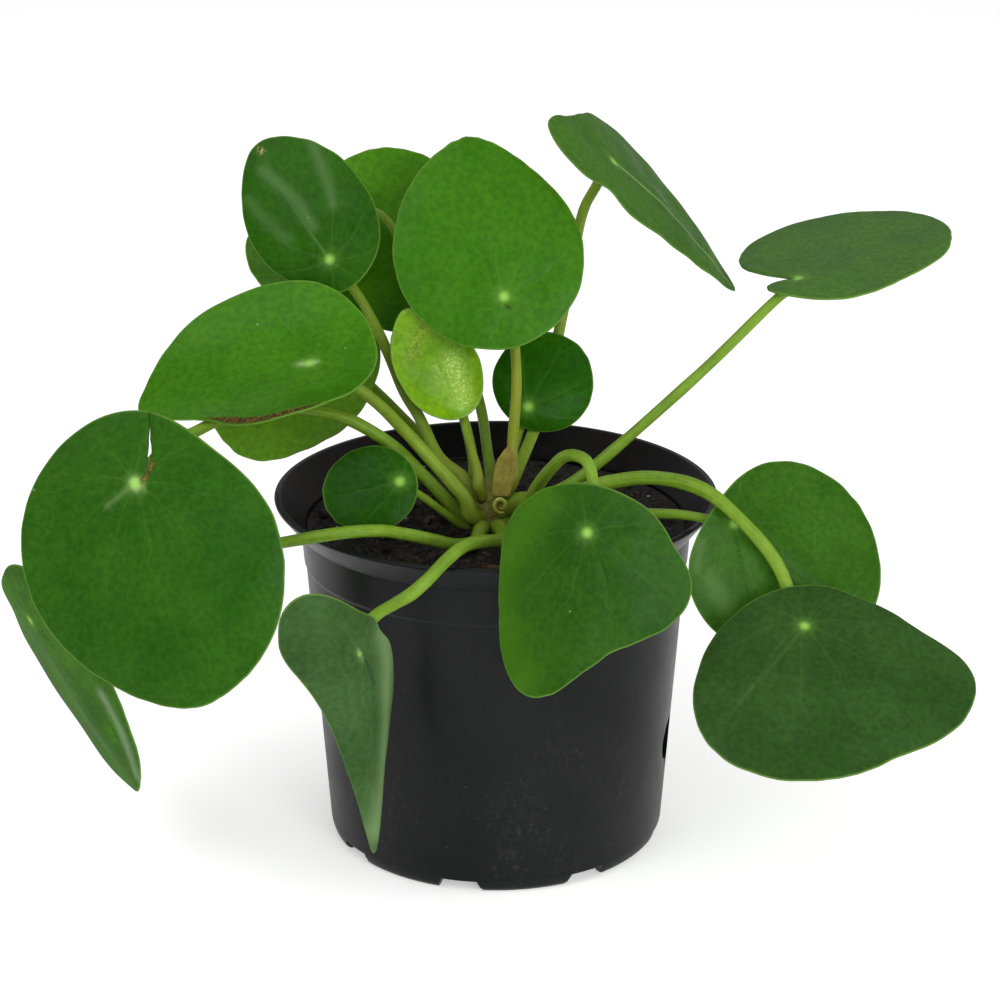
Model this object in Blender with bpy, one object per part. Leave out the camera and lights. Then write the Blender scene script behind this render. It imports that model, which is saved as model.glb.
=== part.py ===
"""A Chinese money plant (Pilea peperomioides) in a black nursery pot.

Metres, +Z up. The origin is the middle of the flat pad under the pot, and -Y is the front.
The driving sizes below are in millimetres and degrees, and MM scales them where meshes are made.
A bearing is measured round the plant from the front (-Y) towards +X.
"""

import math

import bmesh
import bpy
import numpy as np
from mathutils import Matrix, Vector

MM = 0.001
TOUCH_GAP = 0.35  # left between pieces that touch on the real plant

# Pot: a thin moulded cup with a flared rim, standing on a centre pad and a notched foot ring
POT_HEIGHT = 88.5
POT_SIDES = 60
WALL = 1.3
LIP_RADIUS = 54.0
RIM_DEPTH = 7.1  # height of the flared band
RIM_FOOT_RADIUS = 48.8
BODY_TOP_RADIUS = 47.7
BAND_HEIGHT = 71.5  # a shallow step runs round the body here
BAND_STEP = 0.4
BASE_RADIUS = 41.3
BASE_ROUND = 2.2
FOOT_WIDTH = 2.4
PAD_RADIUS = 31.0
CHANNEL_HEIGHT = 3.4  # ceiling of the ring channel under the floor
FLOOR = 1.4
NOTCH_COUNT = 8
NOTCH_BEARING = -12.5
NOTCH_HEIGHT = 3.0
NOTCH_WIDTH_LOW = 11.4
NOTCH_WIDTH_TOP = 8.6
NOTCH_INNER_RADIUS = 36.0
DRAIN_RADIUS = 2.2
DRAIN_CIRCLE = 34.9
SIDE_HOLE_BEARINGS = (79.0, 259.0)
SIDE_HOLE_HEIGHT = 26.5
SIDE_HOLE_RADIUS = 5.5

# Soil: fills the pot, a little heaped towards the back
SOIL_LEVEL = 80.4
SOIL_HEAP = 4.0
SOIL_LUMP = 0.55
SOIL_RINGS = 8
SOIL_SIDES = 48
SOIL_SEED = 7

# Main stem, with its radius at each height
STEM_AXIS = (-2.0, -9.0)
STEM_PROFILE = ((70.0, 3.4), (77.0, 4.2), (83.0, 4.7), (87.0, 4.5), (91.0, 3.6), (94.0, 2.2))
STEM_TOP = 95.0
STEM_SIDES = 14
STEM_HOLE_RADIUS = 5.2
STEM_HOLE_BOTTOM = 69.0

# Stipule (a dry scale) and leaf bud in front of the main stem
STIPULE_FOOT = (1.2, -13.3, 91.6)
STIPULE_HEIGHT = 13.0
STIPULE_WIDTH = 5.6
STIPULE_THICKNESS = 0.8
STIPULE_HOLLOW = 0.6  # how far its sides stand back towards the stem at its foot
STIPULE_SAG = 0.8  # how far its sides drop below its middle line
STIPULE_LEAN = 0.8
STIPULE_ROWS = 8
STIPULE_COLUMNS = 6
BUD_PLACE = (1.1, -15.75, 90.5)
BUD_SIZE = (4.4, 4.2, 5.0)

# Blades and leaf stalks
BLADE_THICKNESS = 0.7
KEEL_SOFTNESS = 4.0  # half the width of the rounded crest along a keel
STALK_TAPER = 0.8  # thickness at the blade over thickness at the main stem
STALK_RISE = 22.0  # slope at which the lowest stalk leaves the main stem
STALK_RISE_STEP = 4.0  # steeper by this for each millimetre further up
LOWEST_JOINT = 83.8
STALK_STEP = 7.0  # length of one straight piece of a stalk

# Every leaf, numbered from the left round the plant.
# spot: where the stalk meets the blade. face: bearing and rise of the upper side's normal.
# spin: turns the tip away from straight downhill. length, width: of the blade.
# back: from the spot to the edge behind it. egg: how much narrower it is towards the tip.
# point: how far the tip is drawn out. trim: per cent added to that outline, at equal angles round
# the spot from the tip. fold, arch: bend across and along the blade. keel: how far each half hangs
# from the midrib. furl: how much more it hangs towards the tip. cup: rise of the edge.
# wave: height, count and phase. slit: a tear from the edge to the spot, with its turn from the base
# and its half angle. joint: bearing and height on the main stem. thick: of the stalk.
# via: points that the stalk passes.
LEAVES = {
    "leaf_01": dict(
        spot=(-81, -55, 110), face=(-12, 20), spin=19, length=67, width=62, back=16, egg=0.04, point=1,
        fold=20, arch=15, wave=(0.8, 3, 40), slit=(-8, 1.5), green="deep",
        trim=(2, 1, -7, -20, 6, 6, 3, 0),
        joint=(-88, 85.8), thick=3.2,
        via=((-12.8, -11.5, 91.3), (-18, -12, 97.3), (-25, -13, 104.8), (-34, -14, 111), (-43, -13, 113.5),
             (-54, -12, 114), (-63, -14, 112.5), (-70.5, -20, 110.5), (-74.5, -29, 111),
             (-77.5, -42, 112)),
    ),
    "leaf_02": dict(
        spot=(-111, -26, 65), face=(-55, -20), spin=30, length=60, width=52, back=14, egg=0.1, point=1,
        fold=-10, keel=10, green="deep",
        trim=(4, 0, -5, -9, -10, -5, 2, 11, -10, -16, -17, -9, 0, 5, 8, 7),
        joint=(-11, 83.8), thick=3.2,
        via=((-5, -20, 82.8), (-9.5, -26, 84.2), (-15, -32, 87.7), (-21, -37, 91), (-28, -40, 93),
             (-40, -42, 92.5), (-64, -38, 86), (-84, -34, 77), (-101, -28, 69)),
    ),
    "leaf_03": dict(
        spot=(-44, -10, 124), face=(-25, 60), spin=-62, length=59, width=54, back=17, egg=0.15, point=3,
        fold=-85, arch=10, green="bright",
        trim=(-3, -25, -13, -8, -3, -6, -11, -1),
        joint=(-32, 86.8), thick=3.4,
        via=((-7.4, -16.2, 92.3), (-11.4, -15.7, 97.2), (-17.1, -14, 103.3), (-22.8, -12, 109.1),
             (-28.3, -10, 114.2), (-36, -9, 119.7)),
    ),
    "leaf_04": dict(
        spot=(-47, 22, 119), face=(-10, 30), spin=-20, length=47, width=45, back=15, egg=0.05,
        fold=15, wave=(0.8, 4, 0), green="middle",
        trim=(0, -12, -10, 0, 0, 0, 0, 2),
        joint=(-140, 87), thick=2.8,
        via=((-9, 0, 91), (-18, 9, 99), (-28, 19, 106), (-38, 27, 113)),
    ),
    "leaf_05": dict(
        spot=(-40, 10, 144), face=(-10, 20), spin=-143, length=41, width=32, back=8, point=0.5,
        fold=20, arch=10, green="glossy",
        trim=(3, -7, -10, -15, 8, 18, 6, 3),
        joint=(-108, 92), thick=3.0,
        via=((-8.6, -6, 94.5), (-14, -3, 98.5), (-18.6, 2.5, 106.5), (-22.6, 6, 112.5), (-27.2, 10, 122.7),
             (-32.7, 14, 132.5)),
    ),
    "leaf_06": dict(
        spot=(-42.5, 29, 139.5), face=(-15, 30), spin=-100, length=28, width=26, back=7, egg=0.05,
        fold=10, green="middle",
        joint=(-152, 90), thick=2.6,
        via=((-5.6, -1, 97), (-7.5, 5, 104), (-10.5, 10, 112), (-16, 15, 124), (-20.5, 19, 137),
             (-24, 23.5, 146), (-29, 29, 150.5), (-35.5, 34.3, 148.5), (-40.5, 34.3, 143.3)),
    ),
    "leaf_07": dict(
        spot=(-31, -61, 71), face=(35, 0), spin=3, length=64, width=30, back=14, egg=0.65, point=2,
        keel=30, furl=35, green="dusty",
        trim=(-1, 3, 5, 8, 5, -22, -45, -38, -20, 45, 22, -16, -30, -30, -22, -11),
        joint=(24, 83.8), thick=3.4,
        via=((1.8, -20, 84.4), (1, -28, 86), (-3, -36.5, 89), (-7.5, -46, 91.3), (-11.6, -53.8, 90.6),
             (-15.3, -58, 88), (-19.2, -58.6, 84.6), (-23.2, -55.2, 80.8), (-27.3, -53.6, 77.5),
             (-30.4, -55.4, 74.3)),
    ),
    "leaf_08": dict(
        spot=(-22.6, -23, 99), face=(-5, 30), spin=-75, length=23, width=21, back=4, egg=0.05,
        cup=-1, green="middle",
        joint=(-66, 83.8), thick=2.2,
        via=((-12, -15, 88), (-17, -18, 93)),
    ),
    "leaf_09": dict(
        spot=(-18, 30, 133), face=(0, 25), spin=-150, length=49, width=43, back=12, egg=0.05,
        fold=10, arch=10, green="middle",
        joint=(172, 90), thick=2.8,
        via=((-2.2, 5, 97.5), (-3.6, 15, 104), (-7.5, 23, 116), (-13, 34, 128)),
    ),
    "leaf_10": dict(
        spot=(-8, 0, 109.5), face=(5, 12), spin=-150, length=29, width=20, back=1.5, egg=0.05, point=1,
        cup=3, green="young",
        joint=(-25, 93), thick=2.2,
        via=((-4.2, -12.5, 97), (-5.5, -8.5, 101), (-7.2, -2.5, 105)),
    ),
    "leaf_11": dict(
        spot=(2, -3, 138.5), face=(0, 22), spin=-168, length=51, width=45, back=12, egg=0.1, point=1,
        fold=15, arch=10, green="bright",
        trim=(0, 4, 8, 6, 4, -4, -6, -9),
        joint=(90, 93), thick=2.8,
        via=((4, -5, 102), (5, -2, 117), (4, 2, 130)),
    ),
    "leaf_12": dict(
        spot=(8, 6, 108), face=(0, 25), spin=150, length=25, width=25, back=5, egg=0.05,
        cup=-2, green="glossy",
        joint=(150, 87), thick=2.2,
        via=((4, 2, 96), (6.5, 9.5, 102.5)),
    ),
    "leaf_13": dict(
        spot=(20.5, -64, 101.5), face=(-18, 25), spin=-8, length=50, width=50, back=10, egg=0.22, point=1,
        keel=15, fold=15, arch=10, green="bright",
        trim=(-7, -17, -22, -15, -2, 6, -3, 7, 11, 4, -5, -13, -17, -14, -4, 1),
        joint=(60, 84.2), thick=3.2,
        via=((5.3, -18.5, 88.5), (7.6, -25, 94.5), (10.3, -32, 102), (13, -38.5, 108),
             (15.6, -43.5, 112.3), (18.3, -49, 114.5), (21, -54, 114), (22, -58, 108)),
    ),
    "leaf_14": dict(
        spot=(28, 12, 167.5), face=(78, 41), spin=18, length=65, width=46, back=23, egg=0.35, point=3,
        fold=15, arch=5, green="middle",
        trim=(5, 9, 10, 13, 10, -11, -32, -38, -26, 10, -6, -35, -26, -27, -20, -7),
        joint=(130, 90), thick=3.0,
        via=((6, -1, 96), (11.5, 13.5, 106), (16, 21, 125), (18.5, 21, 139), (21, 19, 153), (24, 17, 160)),
    ),
    "leaf_15": dict(
        spot=(56, -30, 91), face=(15, 25), spin=48, length=48, width=49, back=9, egg=0.05,
        keel=8, green="deep",
        trim=(3, 3, 1, -5, -30, -8, -4, 0),
        joint=(94, 83.8), thick=2.8,
        via=((17, -14, 86.5), (30, -18, 89), (44, -24, 91)),
    ),
    "leaf_16": dict(
        spot=(72, 0, 142), face=(-49, 78), spin=-178, length=57, width=57, back=10,
        fold=10, arch=10, slit=(-27, 21), green="dusty",
        trim=(5, 2, -3, -9, -12, -14, -24, -10),
        joint=(103, 87), thick=3.0,
        via=((15, -8, 91.5), (25, -6, 98), (49, -3, 119.5), (67, 0, 137)),
    ),
    "leaf_17": dict(
        spot=(71, -52, 74), face=(5, 60), spin=25, length=55, width=66, back=12, egg=0.05,
        fold=30, arch=10, green="blue",
        trim=(-7, -2, 3, 1, -25, -34, -34, -16, 3, 7, 6, 8, 8, 4, 0, -4),
        joint=(72, 88.3), thick=3.7,
        via=((15, -16.5, 92.8), (27, -20, 97.8), (38, -25, 100.6), (49, -31, 99.5), (59, -36, 92),
             (66, -37.5, 83), (70, -43, 73)),
    ),
}

# Colour (linear), roughness and metallic value of each material
MATERIALS = {
    "pot_plastic": ((0.012, 0.012, 0.014), 0.38, 0.0),
    "potting_mix": ((0.025, 0.017, 0.012), 0.95, 0.0),
    "old_stem": ((0.20, 0.19, 0.05), 0.6, 0.0),
    "dry_scale": ((0.36, 0.20, 0.06), 0.7, 0.0),
    "bud_green": ((0.30, 0.40, 0.08), 0.45, 0.0),
    "stalk_green": ((0.28, 0.48, 0.10), 0.45, 0.0),
    "deep": ((0.035, 0.13, 0.02), 0.4, 0.0),
    "middle": ((0.05, 0.17, 0.02), 0.42, 0.0),
    "bright": ((0.07, 0.24, 0.02), 0.4, 0.0),
    "glossy": ((0.03, 0.12, 0.015), 0.28, 0.0),
    "dusty": ((0.06, 0.15, 0.05), 0.5, 0.0),
    "blue": ((0.04, 0.13, 0.05), 0.42, 0.0),
    "young": ((0.22, 0.42, 0.03), 0.32, 0.0),
}


def clear_scene():
    for old in list(bpy.data.objects):
        bpy.data.objects.remove(old, do_unlink=True)


def material(name):
    """The named material, made the first time it is asked for."""
    found = bpy.data.materials.get(name)
    if found:
        return found
    colour, roughness, metallic = MATERIALS[name]
    made = bpy.data.materials.new(name)
    made.use_nodes = True
    made.diffuse_color = (*colour, 1.0)
    shader = made.node_tree.nodes["Principled BSDF"]
    shader.inputs["Base Color"].default_value = (*colour, 1.0)
    shader.inputs["Roughness"].default_value = roughness
    shader.inputs["Metallic"].default_value = metallic
    return made


def add_object(name, data, material_name=None):
    """An object for a mesh or a curve, at the origin."""
    obj = bpy.data.objects.new(name, data)
    bpy.context.scene.collection.objects.link(obj)
    if material_name:
        data.materials.append(material(material_name))
    return obj


def mesh_from(points, faces, name):
    """A mesh from points in millimetres."""
    mesh = bpy.data.meshes.new(name)
    mesh.from_pydata([tuple(p * MM for p in point) for point in points], [], faces)
    mesh.update()
    return mesh


def smooth_shaded(obj, sharp_angle=35.0):
    obj.data.shade_smooth()
    obj.data.set_sharp_from_angle(angle=math.radians(sharp_angle))


def turned_mesh(name, profile, sides):
    """A closed solid of revolution about Z. The profile runs from the axis back to the axis."""
    bm = bmesh.new()
    points = [bm.verts.new((radius * MM, 0.0, height * MM)) for radius, height in profile]
    edges = [bm.edges.new(pair) for pair in zip(points, points[1:])]
    bmesh.ops.spin(
        bm, geom=points + edges, cent=(0, 0, 0), axis=(0, 0, 1), angle=math.tau, steps=sides, use_merge=True
    )
    bmesh.ops.remove_doubles(bm, verts=bm.verts, dist=1e-6)
    bmesh.ops.recalc_face_normals(bm, faces=bm.faces)
    mesh = bpy.data.meshes.new(name)
    bm.to_mesh(mesh)
    bm.free()
    return mesh


def outward(bearing):
    """The unit vector in plan at a bearing from the front."""
    angle = math.radians(bearing)
    return np.array([math.sin(angle), -math.cos(angle), 0.0])


def cut_with(obj, cutter):
    """Cuts a guide shape out of an object and hides the guide."""
    cutter.hide_render = True
    cutter.display_type = "WIRE"
    cut = obj.modifiers.new("cut " + cutter.name, "BOOLEAN")
    cut.operation = "DIFFERENCE"
    cut.object = cutter


# ---- pot and soil ----


def body_radius(height):
    """Outer radius of the pot's tapering body, without its band step."""
    return BASE_RADIUS + (BODY_TOP_RADIUS - BAND_STEP - BASE_RADIUS) * height / (POT_HEIGHT - RIM_DEPTH)


def pot_profile():
    """Up the outside from the pad to the lip, and down the inside to the middle of the floor."""
    rim_foot = POT_HEIGHT - RIM_DEPTH
    foot_inner = BASE_RADIUS - BASE_ROUND * 0.5 - FOOT_WIDTH
    outside = [
        (0.0, 0.0),
        (PAD_RADIUS, 0.0),
        (PAD_RADIUS + 0.9, CHANNEL_HEIGHT),
        (foot_inner - 0.6, CHANNEL_HEIGHT),
        (foot_inner, 0.0),
        (BASE_RADIUS - BASE_ROUND * 0.75, 0.0),
        (BASE_RADIUS - BASE_ROUND * 0.2, BASE_ROUND * 0.45),
        (body_radius(BASE_ROUND * 1.4), BASE_ROUND * 1.4),
        (body_radius(BAND_HEIGHT * 0.5), BAND_HEIGHT * 0.5),
        (body_radius(BAND_HEIGHT), BAND_HEIGHT),
        (body_radius(BAND_HEIGHT + 0.7) + BAND_STEP, BAND_HEIGHT + 0.7),
        (BODY_TOP_RADIUS, rim_foot - 0.2),
        (RIM_FOOT_RADIUS, rim_foot),
        (LIP_RADIUS - 0.15, POT_HEIGHT - 0.9),
        (LIP_RADIUS, POT_HEIGHT - 0.4),
        (LIP_RADIUS - 0.4, POT_HEIGHT),
    ]
    inside = [
        (LIP_RADIUS - WALL - 0.1, POT_HEIGHT),
        (LIP_RADIUS - WALL - 0.6, POT_HEIGHT - 0.5),
        (RIM_FOOT_RADIUS - WALL, rim_foot + 0.9),
        (BODY_TOP_RADIUS - WALL, rim_foot - 0.4),
        (body_radius(BAND_HEIGHT) + BAND_STEP - WALL, BAND_HEIGHT + 1.0),
        (body_radius(CHANNEL_HEIGHT + FLOOR + 1.6) - WALL, CHANNEL_HEIGHT + FLOOR + 1.6),
        (body_radius(0.0) - WALL - 1.2, CHANNEL_HEIGHT + FLOOR),
        (PAD_RADIUS - FLOOR, CHANNEL_HEIGHT + FLOOR),
        (PAD_RADIUS - FLOOR - 0.9, FLOOR),
        (0.0, FLOOR),
    ]
    return outside + inside


def notch_cutter():
    """Eight low wedges that open the foot ring, narrower at the top."""
    points, faces = [], []
    for index in range(NOTCH_COUNT):
        away = outward(NOTCH_BEARING + index * 360.0 / NOTCH_COUNT)
        across = np.array([-away[1], away[0], 0.0])
        start = len(points)
        for radius in (NOTCH_INNER_RADIUS, BASE_RADIUS + 6.0):
            for height, width in ((-1.0, NOTCH_WIDTH_LOW), (NOTCH_HEIGHT, NOTCH_WIDTH_TOP)):
                for side in (-0.5, 0.5):
                    points.append(away * radius + across * side * width + np.array([0.0, 0.0, height]))
        corners = ((0, 2, 3, 1), (4, 5, 7, 6), (0, 1, 5, 4), (2, 6, 7, 3), (0, 4, 6, 2), (1, 3, 7, 5))
        faces += [tuple(start + c for c in corner) for corner in corners]
    mesh = mesh_from(points, faces, "notch_cutter")
    bm = bmesh.new()
    bm.from_mesh(mesh)
    bmesh.ops.recalc_face_normals(bm, faces=bm.faces)
    bm.to_mesh(mesh)
    bm.free()
    return add_object("notch_cutter", mesh)


def rod_cutter(name, rods):
    """Straight round cutters, each given by its middle, its direction, its radius and its length."""
    bm = bmesh.new()
    for middle, direction, radius, length in rods:
        made = bmesh.ops.create_cone(
            bm, cap_ends=True, segments=16, radius1=radius * MM, radius2=radius * MM, depth=length * MM
        )
        turn = turn_onto(direction)
        bmesh.ops.transform(bm, matrix=turn, verts=made["verts"])
        bmesh.ops.translate(bm, vec=[c * MM for c in middle], verts=made["verts"])
    mesh = bpy.data.meshes.new(name)
    bm.to_mesh(mesh)
    bm.free()
    return add_object(name, mesh)


def turn_onto(direction):
    """The rotation that lays the Z axis along a direction."""
    return Vector(direction).to_track_quat("Z", "Y").to_matrix().to_4x4()


def build_pot():
    pot = add_object("pot", turned_mesh("pot", pot_profile(), POT_SIDES), "pot_plastic")
    smooth_shaded(pot)
    cut_with(pot, notch_cutter())
    drains = []
    for index in range(NOTCH_COUNT):
        away = outward(NOTCH_BEARING + (index + 0.5) * 360.0 / NOTCH_COUNT)
        drains.append((away * DRAIN_CIRCLE + (0, 0, CHANNEL_HEIGHT), (0, 0, 1), DRAIN_RADIUS, 8.0))
    cut_with(pot, rod_cutter("drain_cutter", drains))
    sides = []
    for bearing in SIDE_HOLE_BEARINGS:
        away = outward(bearing)
        middle = away * (body_radius(SIDE_HOLE_HEIGHT) - WALL / 2) + (0, 0, SIDE_HOLE_HEIGHT)
        sides.append((middle, away, SIDE_HOLE_RADIUS, 6.0))
    cut_with(pot, rod_cutter("side_hole_cutter", sides))
    return pot


def soil_height(x, y):
    """Height of the soil's surface: a low heap towards the back, with seeded lumps."""
    edge = BODY_TOP_RADIUS - WALL
    inside = np.clip(1.0 - (x**2 + y**2) / edge**2, 0.0, 1.0)
    heap = SOIL_HEAP * inside * (0.35 + 0.65 * y / edge)
    draw = np.random.RandomState(SOIL_SEED)
    lumps = 0.0
    for wave in (0.16, 0.27, 0.41, 0.63):
        bearing, phase = draw.uniform(0.0, math.tau, 2)
        lumps = lumps + np.sin(wave * (x * math.cos(bearing) + y * math.sin(bearing)) + phase)
    return SOIL_LEVEL + heap + SOIL_LUMP * lumps * np.sqrt(inside)


def build_soil():
    """The soil follows the pot's inside, a touch away from it, under a lumpy surface."""
    floor_top = CHANNEL_HEIGHT + FLOOR + TOUCH_GAP
    edge_top = body_radius(SOIL_LEVEL) + BAND_STEP - WALL - TOUCH_GAP
    top = [(edge_top * ring / SOIL_RINGS, SOIL_LEVEL) for ring in range(SOIL_RINGS + 1)]
    below = [
        (body_radius(BAND_HEIGHT) - WALL - TOUCH_GAP, BAND_HEIGHT),
        (body_radius(floor_top + 1.8) - WALL - TOUCH_GAP, floor_top + 1.8),
        (body_radius(0.0) - WALL - 1.4 - TOUCH_GAP, floor_top),
        (PAD_RADIUS - FLOOR - TOUCH_GAP * 1.4, floor_top),
        (PAD_RADIUS - FLOOR - 0.9 - TOUCH_GAP * 1.4, FLOOR + TOUCH_GAP),
        (0.0, FLOOR + TOUCH_GAP),
    ]
    mesh = turned_mesh("soil", top + below, SOIL_SIDES)
    for vertex in mesh.vertices:
        if abs(vertex.co.z - SOIL_LEVEL * MM) < 1e-6:
            vertex.co.z = soil_height(vertex.co.x / MM, vertex.co.y / MM) * MM
    soil = add_object("soil", mesh, "potting_mix")
    smooth_shaded(soil, 60.0)
    hole_top = SOIL_LEVEL + 10.0
    middle = (*STEM_AXIS, (hole_top + STEM_HOLE_BOTTOM) / 2)
    hole = rod_cutter("stem_hole", [(middle, (0, 0, 1), STEM_HOLE_RADIUS, hole_top - STEM_HOLE_BOTTOM)])
    cut_with(soil, hole)
    return soil


# ---- main stem, bud and scale ----


def stem_radius(height):
    heights, radii = zip(*STEM_PROFILE)
    return float(np.interp(height, heights, radii))


def build_main_stem():
    """A short tapering stem with the low rings that fallen leaves leave."""
    profile = [(0.0, STEM_PROFILE[0][0])]
    for height in np.linspace(STEM_PROFILE[0][0], STEM_PROFILE[-1][0], 16):
        profile.append((stem_radius(height), float(height)))
    profile.append((0.0, STEM_TOP))
    mesh = turned_mesh("main_stem", profile, STEM_SIDES)
    mesh.transform(translation(*STEM_AXIS, 0.0))
    stem = add_object("main_stem", mesh, "old_stem")
    smooth_shaded(stem, 60.0)
    return stem


def build_stipule():
    """A dry pointed scale, hollow towards the stem that it stands in front of."""
    up, across = np.meshgrid(
        np.linspace(0.0, 1.0, STIPULE_ROWS + 1), np.linspace(-1.0, 1.0, STIPULE_COLUMNS + 1), indexing="ij"
    )
    belly = up * (1 - up)
    # three quarters of its width at the foot, widest a little below the middle, and drawn to a point
    half_width = STIPULE_WIDTH / 2 * (0.75 + 0.6 * belly + 0.1 * up) * (1 - 0.93 * up**4)
    foot_x, foot_y, foot_z = STIPULE_FOOT
    x = foot_x + across * half_width + STIPULE_LEAN * up
    y = foot_y + STIPULE_HOLLOW * across**2 * (1 - up)
    z = foot_z + STIPULE_HEIGHT * up - STIPULE_SAG * across**2 * belly
    faces = []
    for row in range(STIPULE_ROWS):
        for column in range(STIPULE_COLUMNS):
            low = row * (STIPULE_COLUMNS + 1) + column
            high = low + STIPULE_COLUMNS + 1
            faces.append((low, low + 1, high + 1))
            faces.append((low, high + 1, high))
    mesh = mesh_from(np.stack([x, y, z], axis=-1).reshape(-1, 3), faces, "stipule")
    stipule = add_object("stipule", mesh, "dry_scale")
    mesh.shade_smooth()
    thicken = stipule.modifiers.new("thickness", "SOLIDIFY")
    thicken.thickness = STIPULE_THICKNESS * MM
    thicken.offset = 0.0
    return stipule


def build_bud():
    """A leaf bud, still rolled up, as a small knob at the foot of the stipule."""
    bm = bmesh.new()
    made = bmesh.ops.create_uvsphere(bm, u_segments=12, v_segments=8, radius=1.0)
    size = Matrix.Diagonal((*(s / 2 * MM for s in BUD_SIZE), 1.0))
    bmesh.ops.transform(bm, matrix=translation(*BUD_PLACE) @ size, verts=made["verts"])
    mesh = bpy.data.meshes.new("bud")
    bm.to_mesh(mesh)
    bm.free()
    bud = add_object("bud", mesh, "bud_green")
    mesh.shade_smooth()
    return bud


def translation(x, y, z):
    return Matrix.Translation((x * MM, y * MM, z * MM))


# ---- leaves ----


def blade_axes(leaf):
    """The directions of the tip, the side and the upper face of a blade."""
    bearing, rise = (math.radians(angle) for angle in leaf["face"])
    normal = np.array(
        [math.sin(bearing) * math.cos(rise), -math.cos(bearing) * math.cos(rise), math.sin(rise)]
    )
    downhill = normal * normal[2] - np.array([0.0, 0.0, 1.0])
    downhill /= np.linalg.norm(downhill)
    spin = math.radians(leaf["spin"])
    tip = math.cos(spin) * downhill + math.sin(spin) * np.cross(normal, downhill)
    return tip, np.cross(normal, tip), normal


def blade_outline(leaf, angle):
    """The flat outline round the spot: an egg, drawn out a little at the tip (angle 0)."""
    length, width = leaf["length"], leaf["width"]
    from_tip = np.mod(angle + math.pi, math.tau) - math.pi
    along = length / 2 * np.cos(angle) + length / 2 - leaf["back"]
    along = along + leaf.get("point", 0.0) * np.exp(-((from_tip / 0.3) ** 2))
    across = width / 2 * np.sin(angle) * (1 - leaf.get("egg", 0.0) * np.cos(angle))
    trim = 1 + smooth_round(leaf.get("trim", (0, 0)), angle) / 100
    return along * trim, across * trim


def smooth_round(values, angle):
    """Values at equal angles round a circle, read at any angle along a smooth closed curve."""
    values = np.array(values, dtype=float)
    place = np.mod(angle, math.tau) / math.tau * len(values)
    index = np.floor(place).astype(int)
    t = place - index
    a, b, c, d = (values[np.mod(index + step, len(values))] for step in (-1, 0, 1, 2))
    square, cube = 2 * a - 5 * b + 4 * c - d, 3 * b - a - 3 * c + d
    return 0.5 * (2 * b + (c - a) * t + square * t**2 + cube * t**3)


def rolled(position, rise, bend):
    """Bends a flat strip into an arc. bend is the turn in radians per millimetre."""
    bend = np.where(np.abs(bend) < 1e-6, 1e-6, bend)
    radius = 1 / bend
    return (radius + rise) * np.sin(bend * position), (radius + rise) * np.cos(bend * position) - radius


def blade_form(leaf, along, across, reach, angle):
    """Shapes the flat blade: cup and waves, then the keel, then the bends across and along it."""
    height, count, phase = leaf.get("wave", (0.0, 3, 0.0))
    rise = leaf.get("cup", 0.0) * reach**2 + height * reach**3 * np.sin(count * angle + math.radians(phase))
    keel = np.radians(leaf.get("keel", 0.0) + leaf.get("furl", 0.0) * along / leaf["length"])
    hang = np.sqrt(across**2 + KEEL_SOFTNESS**2) - KEEL_SOFTNESS
    rise = rise - np.sin(keel) * hang
    across = across - np.sign(across) * hang * (1 - np.cos(keel))
    fold = leaf.get("fold", 0.0)
    across, rise = rolled(across, rise, np.radians(fold) / leaf["width"])
    along, rise = rolled(along, rise, np.radians(leaf.get("arch", 0.0)) / leaf["length"])
    return along, across, rise


def blade_sheet(leaf, rings, spokes):
    """The blade's middle sheet as points on rings round the spot, and its triangles."""
    if "slit" in leaf:
        turn, half_angle = (math.radians(a) for a in leaf["slit"])
        start = math.pi + turn + half_angle
        angles = start + np.linspace(0.0, math.tau - 2 * half_angle, spokes)
    else:
        angles = np.arange(spokes) * math.tau / spokes
    reach = np.arange(1, rings + 1) / rings
    reach, angle = np.meshgrid(reach, angles, indexing="ij")
    along, across = blade_outline(leaf, angle)
    along, across, rise = blade_form(leaf, along * reach, across * reach, reach, angle)
    tip, side, normal = blade_axes(leaf)
    spot = np.array(leaf["spot"], dtype=float)
    points = spot + along[..., None] * tip + across[..., None] * side + rise[..., None] * normal
    points = [spot] + [tuple(p) for p in points.reshape(-1, 3)]
    faces = []
    wedges = spokes - 1 if "slit" in leaf else spokes
    for k in range(wedges):
        here, there = k, (k + 1) % spokes
        faces.append((0, 1 + here, 1 + there))
        for ring in range(rings - 1):
            a, b = 1 + ring * spokes + here, 1 + ring * spokes + there
            faces.append((a, a + spokes, b + spokes))
            faces.append((a, b + spokes, b))
    return points, faces


def build_blade(name, leaf):
    small = leaf["length"] < 35
    points, faces = blade_sheet(leaf, 3 if small else 4, 16 if small else 24)
    blade = add_object(name + "_blade", mesh_from(points, faces, name + "_blade"), leaf["green"])
    blade.data.shade_smooth()
    thicken = blade.modifiers.new("thickness", "SOLIDIFY")
    thicken.thickness = BLADE_THICKNESS * MM
    thicken.offset = 0.0
    return blade


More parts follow.
